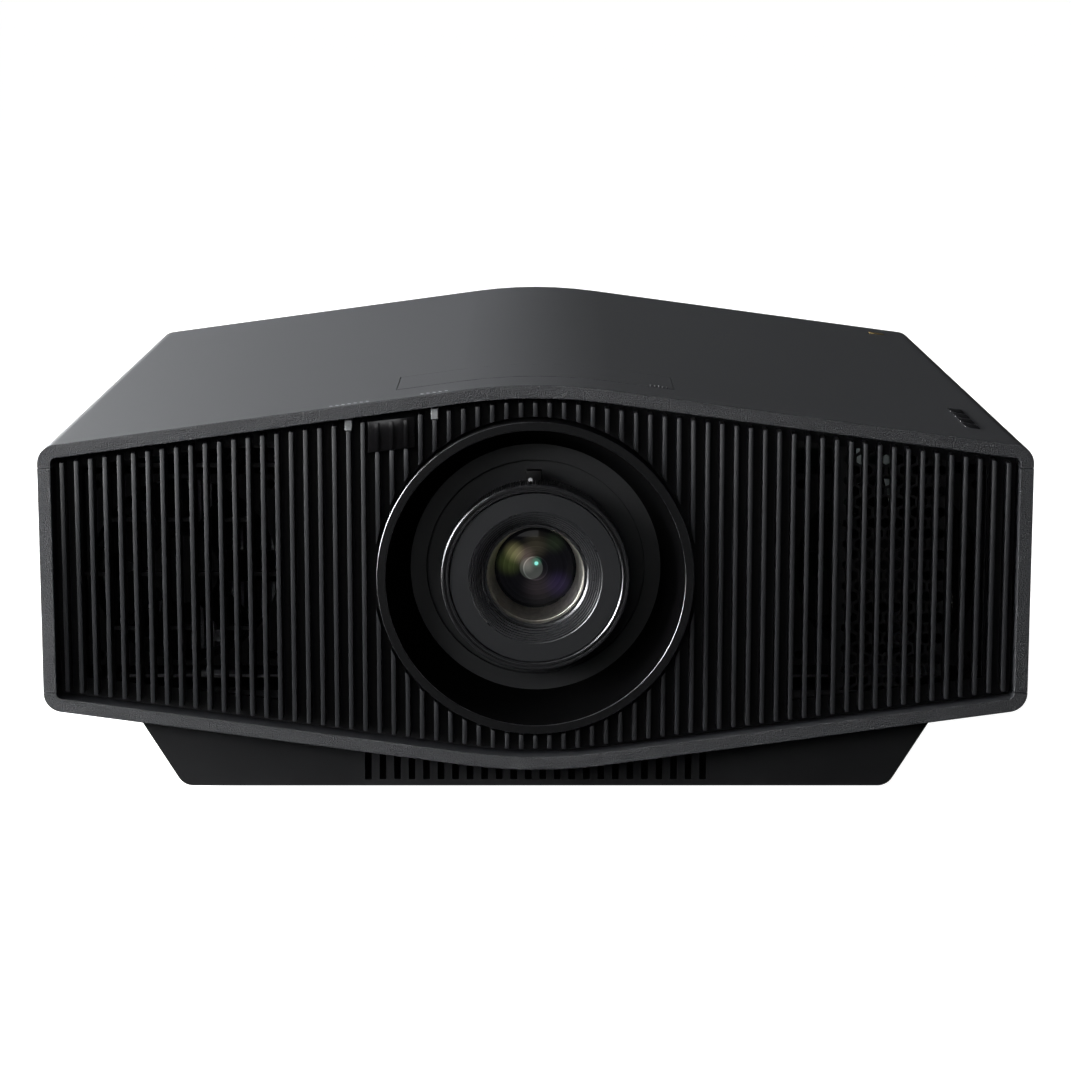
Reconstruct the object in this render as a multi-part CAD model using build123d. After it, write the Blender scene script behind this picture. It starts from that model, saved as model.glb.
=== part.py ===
"""Home cinema projector: a ridged casing on a black base, with a shifting zoom lens behind a slatted front."""
import os
from math import sqrt

from build123d import *

# Casing, mm. The origin is on the table under the middle of the casing; the front faces -Y.
WIDTH = 460.0
DEPTH = 472.0
RIDGE = 200.0          # roof ridge before it is rounded over
EAVES = 168.8          # where the roof meets the sides
SKIRT = 44.6           # where the keel meets the sides
KEEL = 13.4            # lowest line of the casing before rounding
RIDGE_RADIUS = 260.0
KEEL_RADIUS = 240.0
CORNER_RADIUS = 9.0
WALL = 3.0
RIM_WIDTH = 6.3        # flat face round the front opening
RIM_DEPTH = 14.0
UPPER_SEAM = 159.0
LOWER_SEAM = 52.8
SEAM = 0.4

FRONT = -DEPTH / 2
BACK = DEPTH / 2
SLOPE = (RIDGE - EAVES) / (WIDTH / 2)

# Grille
SLAT_COUNT = 67
SLAT_PITCH = 6.64
SLAT_WIDTH = 2.1
SLAT_FRONT = FRONT + 4.0
SLAT_END_GAP = 3.0
PLATE_FRONT = FRONT + RIM_DEPTH + 0.1
PLATE_BACK = PLATE_FRONT + 2.9

# Lens
LENS_Z = 106.8
HOOD_OUTER = 73.8
HOOD_INNER = 69.7
HOOD_THROAT = 59.2
HOOD_HOLE = 51.4
BARREL_RADIUS = 39.0
FOCUS_RADIUS = 44.0
CONE_MOUTH = 22.9       # cone in front of the glass, at its front end
GLASS_EDGE = 19.3       # and where it holds the glass
RING_GAP = 0.3

# Base and feet
BASE_BOTTOM = 4.0
BASE_FRONT = -220.0
BASE_BACK = 214.0
BASE_HALF = 167.0
BASE_FLARE = 0.62      # how far the base side leans out for each mm of height
BASE_WALL = 3.0
BASE_SLOTS = 24
BASE_SLOT_PITCH = 6.9
BASE_SLOT_WIDTH = 3.2
FRONT_FEET = [(-135.0, -185.0), (135.0, -185.0)]
REAR_FEET = [(-135.0, 180.0), (135.0, 180.0)]
MOUNT_HOLES = [(-70.0, -90.0), (70.0, -90.0), (-70.0, 90.0), (70.0, 90.0)]
CASE_SCREWS = [(-208.0, -176.0), (208.0, -176.0), (-208.0, 206.0), (208.0, 206.0)]

# Lid over the shift wheels
LID_HALF = 65.5
LID_FRONT = -203.5
LID_BACK = -156.0
LID_GAP = 0.4
LID_FRONT_GAP = 1.1     # wider, for a fingernail
LID_HINGE = (-156.2, 197.7)
LID_ARMS = (-52.0, 52.0)
LID_ARM_INNER = 13.0
LID_ARM_OUTER = 16.0
LID_ARM_END = -147.2

# Fans, 92 mm frames
FAN_SIZE = 92.0
FAN_FRONT = -211.0
FAN_DEPTH = 25.0
EXHAUST_X = -165.5
INTAKE_X = 166.0
FAN_Z = 106.5

# Terminal recess in the right side and key field in the left side
RECESS_Y = (28.0, 192.0)
RECESS_Z = (70.0, 142.0)
RECESS_FLOOR = 217.0
BOARD_X = 197.6
SOCKET_FACE = 216.5
KEY_FIELD_Y = (88.0, 200.0)
KEY_FIELD_Z = (84.0, 128.0)
KEY_FLOOR = -228.8
KEY_FACE = -229.9
KEY_Z = 106.0
ROUND_KEYS = {"standby_key": 188.0, "input_key": 168.0, "menu_key": 152.0}
ROUND_KEY_RADIUS = 5.5
PAD_Y = 119.0
PAD_OUTER = 17.0
PAD_INNER = 8.0
ENTER_RADIUS = 7.4

# Power inlet and filter door in the rear panel
REAR_FRONT = 226.0
REAR_BACK = 229.0
INLET = (150.0, 80.0)
FILTER_X = (-190.0, -60.0)
FILTER_Z = (64.0, 150.0)


def block(x0, x1, y0, y1, z0, z1):
    """Box between two opposite corners."""
    return Pos((x0 + x1) / 2, (y0 + y1) / 2, (z0 + z1) / 2) * Box(x1 - x0, y1 - y0, z1 - z0)


def rod_x(radius, x0, x1, y, z):
    """Round bar lying left to right."""
    return Pos((x0 + x1) / 2, y, z) * Rot(0, 90, 0) * Cylinder(radius, x1 - x0)


def rod_y(radius, x, y0, y1, z):
    """Round bar lying front to back."""
    return Pos(x, (y0 + y1) / 2, z) * Rot(90, 0, 0) * Cylinder(radius, y1 - y0)


def rod_z(radius, x, y, z0, z1):
    """Upright round bar."""
    return Pos(x, y, (z0 + z1) / 2) * Cylinder(radius, z1 - z0)


def slab(outline, front, back):
    """Upright outline, drawn in x and z, carried from front to back."""
    plane = Plane(origin=(0, back, 0), x_dir=(1, 0, 0), z_dir=(0, -1, 0))
    return extrude(plane * outline, amount=back - front)


def polygon(points):
    return make_face(Polyline(*points, close=True))


def turned(points, x=0.0, z=LENS_Z):
    """Profile of (radius, y) points spun round an axis parallel to the lens."""
    axis = Axis((x, 0, z), (0, 1, 0))
    return revolve(Pos(x, 0, z) * polygon(points), axis=axis)


def roof_height(x, inset=0.0):
    return RIDGE - SLOPE * abs(x) - inset * sqrt(1 + SLOPE**2)


def keel_height(x, inset=0.0):
    return KEEL + SLOPE * abs(x) + inset * sqrt(1 + SLOPE**2)


def hexagon(inset):
    """Cross-section of the casing a given distance inside its skin."""
    half = WIDTH / 2 - inset
    points = [
        (0, roof_height(0, inset)),
        (half, roof_height(half, inset)),
        (half, keel_height(half, inset)),
        (0, keel_height(0, inset)),
        (-half, keel_height(half, inset)),
        (-half, roof_height(half, inset)),
    ]
    corner = max(CORNER_RADIUS - inset, 1.5)
    radii = [RIDGE_RADIUS - inset, corner, corner, KEEL_RADIUS - inset, corner, corner]
    return make_face(FilletPolyline(*points, radius=radii, close=True))


def casing_tube():
    """Whole outer tube before it is parted at the seams."""
    tube = slab(hexagon(0), FRONT, BACK)
    tube -= slab(hexagon(RIM_WIDTH), FRONT - 1, FRONT + RIM_DEPTH)
    tube -= slab(hexagon(WALL), FRONT + RIM_DEPTH, BACK + 1)
    front_edges = tube.edges().filter_by_position(Axis.Y, FRONT - 0.01, FRONT + 0.01)
    tube = fillet(front_edges, 0.5)
    back_edges = tube.edges().filter_by_position(Axis.Y, BACK - 0.01, BACK + 0.01)
    return fillet(back_edges, 1.2)


def screw_bosses(z0, z1, hole):
    bosses = [rod_z(5.0, x, y, z0, z1) - rod_z(hole, x, y, z0 - 1, z1 + 1) for x, y in CASE_SCREWS]
    return bosses


def upper_shell(tube):
    shell = tube & block(-240, 240, -240, 240, UPPER_SEAM + SEAM / 2, 210)
    shell -= block(-LID_HALF, LID_HALF, LID_FRONT, LID_BACK, 150, 210)
    for x, y in CASE_SCREWS:
        top = roof_height(x, WALL) + 0.5
        shell += rod_z(5.0, x, y, 66.0, top) - rod_z(1.7, x, y, 60, 90)
    return shell


def lower_shell(tube):
    shell = tube & block(-240, 240, -240, 240, 0, LOWER_SEAM - SEAM / 2)
    for x in (-150.0, -60.0, 60.0, 150.0):
        rib = block(x - 1.5, x + 1.5, -190, 205, keel_height(x, WALL) - 1, 48.0)
        shell += rib
    for x, y in CASE_SCREWS:
        shell += rod_z(5.0, x, y, keel_height(x, WALL) - 1.5, 65.8)
        shell -= rod_z(2.3, x, y, 30, 70)
        shell -= rod_z(4.4, x, y, 30, 46.0)
    shell -= [block(x0, x1, -200, -140, 10, 46) for x0, x1 in ((-56, -3), (3, 56))]
    return shell


def key_hole_cutters():
    cutters = [rod_x(ROUND_KEY_RADIUS + 0.3, -235, -220, y, KEY_Z) for y in ROUND_KEYS.values()]
    cutters.append(rod_x(PAD_OUTER + 0.3, -235, -220, PAD_Y, KEY_Z))
    return cutters


def left_side_panel(tube):
    panel = tube & block(-240, -200, -240, 240, LOWER_SEAM + SEAM / 2, UPPER_SEAM - SEAM / 2)
    panel -= block(-235, KEY_FLOOR, KEY_FIELD_Y[0], KEY_FIELD_Y[1], KEY_FIELD_Z[0], KEY_FIELD_Z[1])
    return panel - key_hole_cutters()


HDMI_Y = (58.0, 84.0)
NETWORK_Y = 112.0
USB_Z = (93.0, 107.0)
USB_Y = 140.0
JACK_Z = (92.0, 108.0)
JACK_Y = 168.0
SOCKET_Z = 100.0


def right_side_panel(tube):
    panel = tube & block(200, 240, -240, 240, LOWER_SEAM + SEAM / 2, UPPER_SEAM - SEAM / 2)
    y0, y1 = RECESS_Y
    z0, z1 = RECESS_Z
    panel += block(RECESS_FLOOR - 3, 228, y0 - 2.5, y1 + 2.5, z0 - 2.5, z1 + 2.5)
    panel -= block(RECESS_FLOOR, 235, y0, y1, z0, z1)
    holes = [block(210, 220, y - 7.8, y + 7.8, SOCKET_Z - 3.2, SOCKET_Z + 3.2) for y in HDMI_Y]
    holes.append(block(210, 220, NETWORK_Y - 8.3, NETWORK_Y + 8.3, SOCKET_Z - 7.1, SOCKET_Z + 7.1))
    holes += [block(210, 220, USB_Y - 7.6, USB_Y + 7.6, z - 3.9, z + 3.9) for z in USB_Z]
    holes += [rod_x(4.3, 210, 220, JACK_Y, z) for z in JACK_Z]
    return panel - holes


def base_outline(inset):
    half = BASE_HALF - inset
    bottom = BASE_BOTTOM + inset
    top = 44.0
    reach = half + BASE_FLARE * (top - bottom)
    points = [(-half, bottom), (half, bottom), (reach, top), (-reach, top)]
    return make_face(FilletPolyline(*points, radius=[8.0 - inset, 8.0 - inset, 0, 0], close=True))


def base_pan():
    pan = slab(base_outline(0), BASE_FRONT, BASE_BACK)
    pan -= slab(base_outline(BASE_WALL), BASE_FRONT + BASE_WALL, BASE_BACK - BASE_WALL)
    for x, y in FRONT_FEET:
        pan += rod_z(10.0, x, y, BASE_BOTTOM + 1, 29.0)
        pan -= rod_z(4.05, x, y, 0, 30)
    for x, y in REAR_FEET:
        pan += rod_z(7.0, x, y, BASE_BOTTOM + 1, 14.0)
        pan -= rod_z(2.6, x, y, 0, 12)
    for x, y in MOUNT_HOLES:
        pan += rod_z(9.0, x, y, BASE_BOTTOM + 1, 19.0)
        pan -= rod_z(4.5, x, y, 0, 16)
    pan -= slab(hexagon(-0.1), FRONT, BACK)
    slots = []
    for i in range(BASE_SLOTS):
        x = (i - (BASE_SLOTS - 1) / 2) * BASE_SLOT_PITCH
        top = max(keel_height(x) - 1.2, 14.2)
        half = BASE_SLOT_WIDTH / 2
        slots.append(block(x - half, x + half, BASE_FRONT - 1, BASE_FRONT + 6, BASE_BOTTOM + 3, top))
    pan -= slots
    rear_slots = [block(x - 1.6, x + 1.6, BASE_BACK - 6, BASE_BACK + 1, 8, 20) for x in range(-150, 151, 10)]
    return pan - rear_slots


def rear_panel():
    panel = slab(hexagon(WALL + 0.2), REAR_FRONT, REAR_BACK)
    x0, x1 = FILTER_X
    z0, z1 = FILTER_Z
    panel -= block(x0 + 4, x1 - 4, 220, 235, z0 + 4, z1 - 4)
    panel += block(x0 + 1, x1 - 1, 212, REAR_FRONT + 1, z0 + 1, z1 - 1)
    panel -= block(x0 + 4, x1 - 4, 214, 235, z0 + 4, z1 - 4)
    panel -= block(x0 + 10, x1 - 10, 200, 235, z0 + 10, z1 - 10)
    for ear in ((x0 - 6, x0 - 0.6), (x1 + 0.6, x1 + 6)):
        panel += block(ear[0], ear[1], REAR_FRONT, 233.5, z0 - 3, z0 + 3)
        panel -= rod_x(1.45, ear[0] - 1, ear[1] + 1, 231.0, z0)
    x, z = INLET
    panel -= block(x - 14.3, x + 14.3, 220, 235, z - 10.3, z + 10.3)
    louvres = [block(-30, 110, 220, 235, level, level + 3.2) for level in range(60, 152, 8)]
    return panel - louvres


def filter_cover():
    x0, x1 = FILTER_X
    z0, z1 = FILTER_Z
    cover = block(x0, x1, REAR_BACK + 0.4, REAR_BACK + 3.4, z0 + 3.4, z1)
    cover += block(x0, x1, REAR_BACK + 0.6, REAR_BACK + 3.4, z0 - 1.4, z0 + 4)
    cover += rod_x(1.4, x0 - 5, x1 + 5, 231.0, z0)
    slots = [block(x0 + 8, x1 - 8, 225, 236, level, level + 3.2) for level in range(73, 142, 7)]
    cover -= slots
    cover -= [block((x0 + x1) / 2 - 9, (x0 + x1) / 2 + 9, REAR_BACK + 2.2, 236, z1 - 6, z1 - 2.5)]
    return cover


def air_filter():
    x0, x1 = FILTER_X
    z0, z1 = FILTER_Z
    pad = block(x0 + 4.3, x1 - 4.3, 214.3, 224.0, z0 + 4.3, z1 - 4.3)
    pleats = []
    step = 6.0
    x = x0 + 10.0
    while x < x1 - 8:
        groove = polygon([(x - 2.4, 224.5), (x + 2.4, 224.5), (x, 217.0)])
        pleats.append(extrude(Pos(0, 0, z0 + 8) * groove, amount=z1 - z0 - 16))
        x += step
    return pad - pleats


def slat_ends(x):
    low = keel_height(x, RIM_WIDTH) + SLAT_END_GAP
    high = roof_height(x, RIM_WIDTH) - SLAT_END_GAP
    return max(low, 25.0), min(high, 188.9)


EXHAUST_OUTLINE = [(-212, 57), (-119, 46), (-119, 170), (-212, 158)]
INTAKE_OUTLINE = [(121, 46), (211, 57), (211, 158), (121, 170)]
INDICATORS = [(-86.3, 178.6), (-46.5, 183.8)]
WINDOW = [(-77.1, 165.6), (-56.1, 168.0), (-56.1, 182.6), (-77.1, 179.8)]


def front_grille():
    plate = slab(hexagon(WALL + 0.2), PLATE_FRONT, PLATE_BACK)
    plate -= [slab(polygon(EXHAUST_OUTLINE), -230, -210), slab(polygon(INTAKE_OUTLINE), -230, -210)]
    slats = []
    for i in range(SLAT_COUNT):
        x = (i - SLAT_COUNT // 2) * SLAT_PITCH
        low, high = slat_ends(x)
        half = SLAT_WIDTH / 2
        slats.append(block(x - half, x + half, SLAT_FRONT, PLATE_FRONT + 0.2, low, high))
    for side in (-1, 1):
        edge = side * 214.6
        slats.append(block(min(edge, side * 226), max(edge, side * 226), PLATE_FRONT, PLATE_BACK, 57, 158))
    grille = plate + slats
    grille -= rod_y(HOOD_OUTER + 0.4, 0, -240, -210, LENS_Z)
    grille -= rod_y(HOOD_OUTER + 1.8, 0, -240, PLATE_FRONT, LENS_Z)
    for x, z in INDICATORS:
        grille -= block(x - 2.3, x + 2.3, -236, -215, z - 2.9, z + 2.9)
    grille -= slab(offset(polygon(WINDOW), 0.3), -236, -226)
    return grille


def infrared_window():
    window = slab(polygon(WINDOW), SLAT_FRONT + 0.2, SLAT_FRONT + 1.8)
    for i in (-11, -10, -9):
        x = i * SLAT_PITCH
        low = 166.5 + (x + 77) * 0.11
        window += block(x - 1.0, x + 1.0, SLAT_FRONT - 0.3, SLAT_FRONT + 0.4, low + 1.2, low + 12.6)
    return window


def indicator_lenses():
    guides = []
    for x, z in INDICATORS:
        guide = block(x - 1.7, x + 1.7, SLAT_FRONT - 0.4, -214.0, z - 2.6, z + 2.6)
        guides.append(guide)
    return Compound(children=guides)


def exhaust_guard():
    """Thin uprights with short bars set in a brick pattern between them."""
    guard = block(-214.5, -116.5, -218.6, -212.0, 44.5, 171.0)
    guard -= block(-212.5, -119.4, -220, -210, 50.0, 166.0)
    pitch = 13.3
    bars = []
    for column in range(7):
        x = -212.5 + pitch * column
        if column:
            bars.append(block(x - 0.6, x + 0.6, -217.5, -212.5, 49, 167))
        levels = (79.9, 131.7) if column % 2 else (105.8, 157.6)
        bars += [block(x, x + pitch, -217.5, -213.5, z - 1.0, z + 1.0) for z in levels]
    return (guard + bars) & slab(hexagon(WALL + 0.4), -219, -210)


def intake_screen():
    """Perforated sheet held between two uprights."""
    frame = block(116.5, 213.5, -218.6, -215.0, 44.5, 171.0) - block(119.5, 210.5, -220, -210, 50.0, 166.0)
    frame += block(138.8, 143.6, -218.6, -213.0, 47, 169)
    frame += block(191.9, 195.8, -218.6, -213.0, 47, 169)
    sheet = block(143.0, 192.5, -216.4, -215.2, 47, 169)
    holes = []
    pitch = 5.8
    for row in range(24):
        z = 49.5 + row * pitch * 0.866
        shift = pitch / 2 if row % 2 else 0.0
        for column in range(8):
            x = 146.6 + column * pitch + shift
            if x < 190.5 and z < 166:
                holes.append((x, z))
    cutter = Plane(origin=(0, -210, 0), x_dir=(1, 0, 0), z_dir=(0, -1, 0))
    pattern = Sketch() + [Pos(x, z) * RegularPolygon(2.6, 6, rotation=30) for x, z in holes]
    sheet -= extrude(cutter * pattern, amount=10)
    notches = [block(x0, x1, -220, -217.6, z - 0.6, z + 0.6) for x0, x1 in ((141, 144), (191, 194)) for z in (80, 131)]
    return (frame + sheet - notches) & slab(hexagon(WALL + 0.4), -219, -210)


def lens_hood():
    profile = [
        (HOOD_INNER, FRONT),
        (HOOD_OUTER, FRONT),
        (HOOD_OUTER, PLATE_BACK + 0.2),
        (82.0, PLATE_BACK + 0.2),
        (82.0, PLATE_BACK + 2.7),
        (66.0, PLATE_BACK + 2.7),
        (61.5, -204.0),
        (HOOD_HOLE, -204.0),
        (HOOD_HOLE, -206.0),
        (HOOD_THROAT, -206.0),
    ]
    hood = turned(profile)
    return chamfer(hood.edges().filter_by_position(Axis.Y, FRONT - 0.01, FRONT + 0.01), 0.4)


def shroud_disc():
    return turned([(BARREL_RADIUS + 0.05, -203.4), (60.0, -203.4), (60.0, -201.9), (BARREL_RADIUS + 0.05, -201.9)])


def lens_barrel():
    """Fixed tube: wide in front, a flange for the carriage, a narrower tail through the mount."""
    profile = [
        (36.0, -228.0),
        (BARREL_RADIUS, -228.0),
        (BARREL_RADIUS, -130.0),
        (46.0, -124.0),
        (46.0, -108.2),
        (33.0, -108.2),
        (33.0, -80.0),
        (30.0, -80.0),
        (30.0, -118.0),
        (36.0, -124.0),
    ]
    return turned(profile)


def focus_ring():
    profile = [
        (BARREL_RADIUS + RING_GAP, -217.9),
        (FOCUS_RADIUS - 1.0, -217.9),
        (FOCUS_RADIUS - 1.0, -218.6),
        (FOCUS_RADIUS, -219.0),
        (FOCUS_RADIUS, -232.6),
        (FOCUS_RADIUS - 0.4, -233.0),
        (40.2, -233.0),
        (40.2, -227.8),
        (BARREL_RADIUS + RING_GAP, -227.8),
    ]
    ring = turned(profile)
    grooves = []
    for place in PolarLocations(FOCUS_RADIUS + 0.35, 72):
        groove = Pos(0, 0, LENS_Z) * Rot(90, 0, 0) * place * Cylinder(0.9, 10.5)
        grooves.append(Pos(0, -224.8, 0) * groove)
    return ring - grooves


def zoom_ring():
    profile = [
        (BARREL_RADIUS + RING_GAP, -206.6),
        (42.6, -206.6),
        (42.6, -217.4),
        (BARREL_RADIUS + RING_GAP, -217.4),
    ]
    ring = turned(profile)
    ring += block(-4.3, 3.2, -216.5, -210.5, LENS_Z + 41.5, LENS_Z + 48.1)
    return ring


def front_lens_cell():
    """Front cell: flat face, fine steps going inwards, then a long cone down to the glass."""
    outer = [(21.2, -199.0), (24.5, -199.0), (24.5, -214.0), (35.6, -214.0), (35.6, -229.6), (39.9, -229.6)]
    outer += [(39.9, -232.4), (31.0, -232.4)]
    steps = []
    for i in range(5):
        radius = 31.0 - 1.4 * i
        depth = -232.4 + 1.3 * (i + 1)
        steps.append((radius, depth))
        steps.append((radius - 1.4, depth))
    inner = [(CONE_MOUTH, -225.6), (GLASS_EDGE, -206.0), (21.2, -206.0)]
    return turned(outer + steps + inner)


def dome_drop(radius, bulge):
    """How far a spherical face has fallen from its top at half its radius."""
    sphere = (radius**2 + bulge**2) / (2 * bulge)
    return sphere - sqrt(sphere**2 - radius**2 / 4)


def lens_element(radius, front, back, bulge_front, bulge_back):
    """Glass element: a plain cylinder with a bulging face at each end."""
    front_top = front - bulge_front
    back_top = back + bulge_back
    front_middle = (radius / 2, front_top + dome_drop(radius, bulge_front))
    back_middle = (radius / 2, back_top - dome_drop(radius, bulge_back))
    outline = Line((0, back_top), (0, front_top))
    outline += ThreePointArc((0, front_top), front_middle, (radius, front))
    outline += Line((radius, front), (radius, back))
    outline += ThreePointArc((radius, back), back_middle, (0, back_top))
    return revolve(Pos(0, 0, LENS_Z) * make_face(outline), axis=Axis((0, 0, LENS_Z), (0, 1, 0)))


def front_glass():
    return lens_element(21.0, -205.3, -200.5, 2.6, 1.4)


def zoom_lens_group():
    cell = turned([(24.0, -186.0), (35.5, -186.0), (35.5, -164.0), (24.0, -164.0)])
    cell += lens_element(24.2, -182.0, -176.0, 2.0, 1.5)
    cell += lens_element(24.2, -172.0, -168.0, 1.2, 2.0)
    return cell


def rear_lens_group():
    cell = turned([(20.0, -116.0), (29.9, -116.0), (29.9, -84.0), (20.0, -84.0)])
    cell += lens_element(20.2, -112.0, -106.0, 2.0, 1.5)
    cell += lens_element(20.2, -94.0, -89.0, 1.5, 2.0)
    return cell


DIAL_X = 30.0
DIAL_Z = 176.0


def lens_mount_frame():
    """Upright plate on the chassis, end blocks for the cross rods, and the bridge carrying the shift wheels."""
    frame = block(-92, 92, -90, -84, 49.6, 180) + block(-45, 45, -90, -84, 179, 186)
    for x in (-90, 80):
        for z in (50.0, 158.0):
            frame += block(x, x + 10, -102, -89, z, z + 12)
    frame -= rod_y(42.0, 0, -95, -80, LENS_Z)
    frame += [rod_x(3.0, -82, 82, -96, z) for z in (56.0, 164.0)]
    frame += block(-45, 45, -172, -84, 183, 186)
    frame += block(-45, 45, -172, -168, 168, 186)
    frame += [block(x - 10, x + 10, -112, -74, 49.6, 54.0) for x in (-82, 82)]
    frame -= [rod_y(3.05, x, -175, -80, DIAL_Z) for x in (-DIAL_X, DIAL_X)]
    return frame


def horizontal_carriage():
    """Plate sliding sideways on two cross rods and holding two upright rods of its own."""
    plate = block(-62, 62, -99, -93, 50, 170)
    plate += [block(-62, 62, -101, -91, z - 6, z + 6) for z in (56.0, 164.0)]
    plate += [block(x - 6, x + 6, -110, -98, z, z + 10) for x in (-56.0, 56.0) for z in (50.0, 160.0)]
    plate -= rod_y(41.0, 0, -110, -90, LENS_Z)
    plate -= [rod_x(3.05, -70, 70, -96, z) for z in (56.0, 164.0)]
    plate += [rod_z(3.0, x, -105, 55, 165) for x in (-56.0, 56.0)]
    return plate + block(-50, -10, -99, -93, 169, 171)


def vertical_carriage():
    plate = block(-50.5, 50.5, -108, -102, 66.6, 150)
    for x in (-56.0, 56.0):
        plate += block(x - 6, x + 6, -110.5, -101.5, 66.6, 148)
        plate -= rod_z(3.05, x, -105, 60, 160)
    plate -= rod_y(33.1, 0, -120, -95, LENS_Z)
    plate += block(38.5, 42.5, -108, -102, 149, 176.5)
    return plate


def shift_dial(x):
    """Thumb wheel on a long shaft with a plain driving drum at its far end."""
    dial = rod_y(13.0, x, -186, -175, DIAL_Z)
    grooves = []
    for place in PolarLocations(13.4, 30):
        grooves.append(Pos(x, -180.5, DIAL_Z) * Rot(90, 0, 0) * place * Cylinder(0.8, 12))
    dial -= grooves
    dial += rod_y(3.0, x, -176, -85, DIAL_Z)
    dial += rod_y(4.7, x, -108 if x > 0 else -99, -102 if x > 0 else -93, DIAL_Z)
    return dial


def hinge_band(x, half, inner, outer):
    """Curved bar round the lid's hinge line, which lies above the roof's own edge."""
    y, z = LID_HINGE
    return rod_x(outer, x - half, x + half, y, z) - rod_x(inner, x - half - 1, x + half + 1, y, z)


def lens_shift_lid():
    """Slice of the roof on two curved arms that slide in the hinge guides."""
    lid = slab(hexagon(0), -210, -150) - slab(hexagon(WALL), -215, -145)
    edge = LID_HALF - LID_GAP
    lid &= block(-edge, edge, LID_FRONT + LID_FRONT_GAP, LID_BACK - LID_GAP, 150, 210)
    under_roof = slab(hexagon(WALL - 0.5), -180, -140)
    for x in LID_ARMS:
        arm = hinge_band(x, 3.0, LID_ARM_INNER, LID_ARM_OUTER)
        lid += arm & block(x - 4, x + 4, -180, LID_ARM_END, 170, 200) & under_roof
    return lid


def lid_hinge_guides():
    """Two blocks under the roof, each with a curved slot that carries an arm of the lid."""
    guides = []
    under_roof = slab(hexagon(WALL + 0.05), -180, -130)
    for x in LID_ARMS:
        guide = hinge_band(x, 5.8, LID_ARM_INNER - 2.2, LID_ARM_OUTER + 2.3)
        guide &= block(x - 6, x + 6, -180, -150, 170, 187.5)
        guide += block(x - 5.8, x + 5.8, -155.6, -138, 179.5, 195) & under_roof
        slot = hinge_band(x, 3.3, LID_ARM_INNER - 0.3, LID_ARM_OUTER + 0.3)
        guide -= slot & block(x - 4, x + 4, -180, LID_ARM_END + 0.6, 170, 188.9)
        guides.append(guide)
    return Compound(children=guides)


def chassis_tray():
    tray = block(-200, 200, -182, 205, 48.0, 49.4)
    tray += [block(x0, x1, -182, 205, 48.0, 53.0) for x0, x1 in ((-200, -198.6), (198.6, 200))]
    tray -= [rod_z(4.0, x, y, 40, 60) for x in (-170, -40, 40, 170) for y in (-150, 0, 150)]
    tray -= block(-55, 55, -178, -130, 40, 60)
    return tray


def optical_engine():
    housing = block(-112, 62, -72, 62, 49.6, 150) - block(-109, 59, -69, 59, 52.6, 147)
    housing -= rod_y(34.0, 0, -80, -66, LENS_Z)
    housing += [block(x - 1.5, x + 1.5, -68, 58, 149, 154) for x in (-90, -60, -30, 0, 30)]
    housing += block(-16, 16, -61, -29, 50, 91.6)
    return housing


def combiner_prism():
    return block(-15, 15, -60, -30, 91.8, 121.8)


def imaging_panels():
    panels = [
        block(-21.0, -18.0, -60, -30, 91.8, 121.8),
        block(18.0, 21.0, -60, -30, 91.8, 121.8),
        block(-15, 15, -27, -24, 91.8, 121.8),
    ]
    panels = [panel - hollow for panel, hollow in zip(panels, (
        block(-22, -20.2, -57, -33, 96, 118),
        block(20.2, 22, -57, -33, 96, 118),
        block(-12, 12, -24.8, -23, 96, 118),
    ))]
    return Compound(children=panels)


def laser_module():
    body = block(-190, -118, -60, 50, 56, 132)
    body += [block(-190, -118, y, y + 1.6, 131, 144) for y in range(-56, 48, 6)]
    body += rod_x(16.0, -119, -112.3, 20, LENS_Z)
    return body


def wheel_motor():
    return rod_x(13.0, -108.8, -94.0, 20, LENS_Z) - rod_x(2.05, -104, -90, 20, LENS_Z)


def phosphor_wheel():
    wheel = rod_x(30.0, -90.0, -88.6, 20, LENS_Z) + rod_x(9.0, -92.5, -86.0, 20, LENS_Z)
    return wheel + rod_x(2.0, -102, -91, 20, LENS_Z)


def laser_heat_sink():
    sink = block(-190, -122, -165, -75, 52, 58)
    sink += [block(x - 0.7, x + 0.7, -165, -75, 57, 142) for x in range(-188, -121, 5)]
    sink += [rod_y(3.0, x, -160, -60.5, 64) for x in (-175.5, -155.5, -135.5)]
    return sink


def fan_frames():
    frames = []
    for centre in (EXHAUST_X, INTAKE_X):
        half = FAN_SIZE / 2
        frame = block(centre - half, centre + half, FAN_FRONT, FAN_FRONT + FAN_DEPTH, FAN_Z - half, FAN_Z + half)
        frame -= rod_y(43.8, centre, FAN_FRONT - 1, FAN_FRONT + FAN_DEPTH + 1, FAN_Z)
        back = FAN_FRONT + FAN_DEPTH
        frame += rod_y(18.0, centre, back - 4, back, FAN_Z)
        for turn in (45, 135, 225, 315):
            strut = Pos(centre, 0, FAN_Z) * Rot(0, turn, 0) * block(15, 46, back - 4, back, -1.5, 1.5)
            frame += strut
        frame -= rod_y(2.05, centre, back - 5, back + 1, FAN_Z)
        frame -= [rod_y(2.2, centre + dx, FAN_FRONT - 1, back + 1, FAN_Z + dz) for dx in (-41, 41) for dz in (-41, 41)]
        frames.append(frame)
    return Compound(children=frames)


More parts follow.
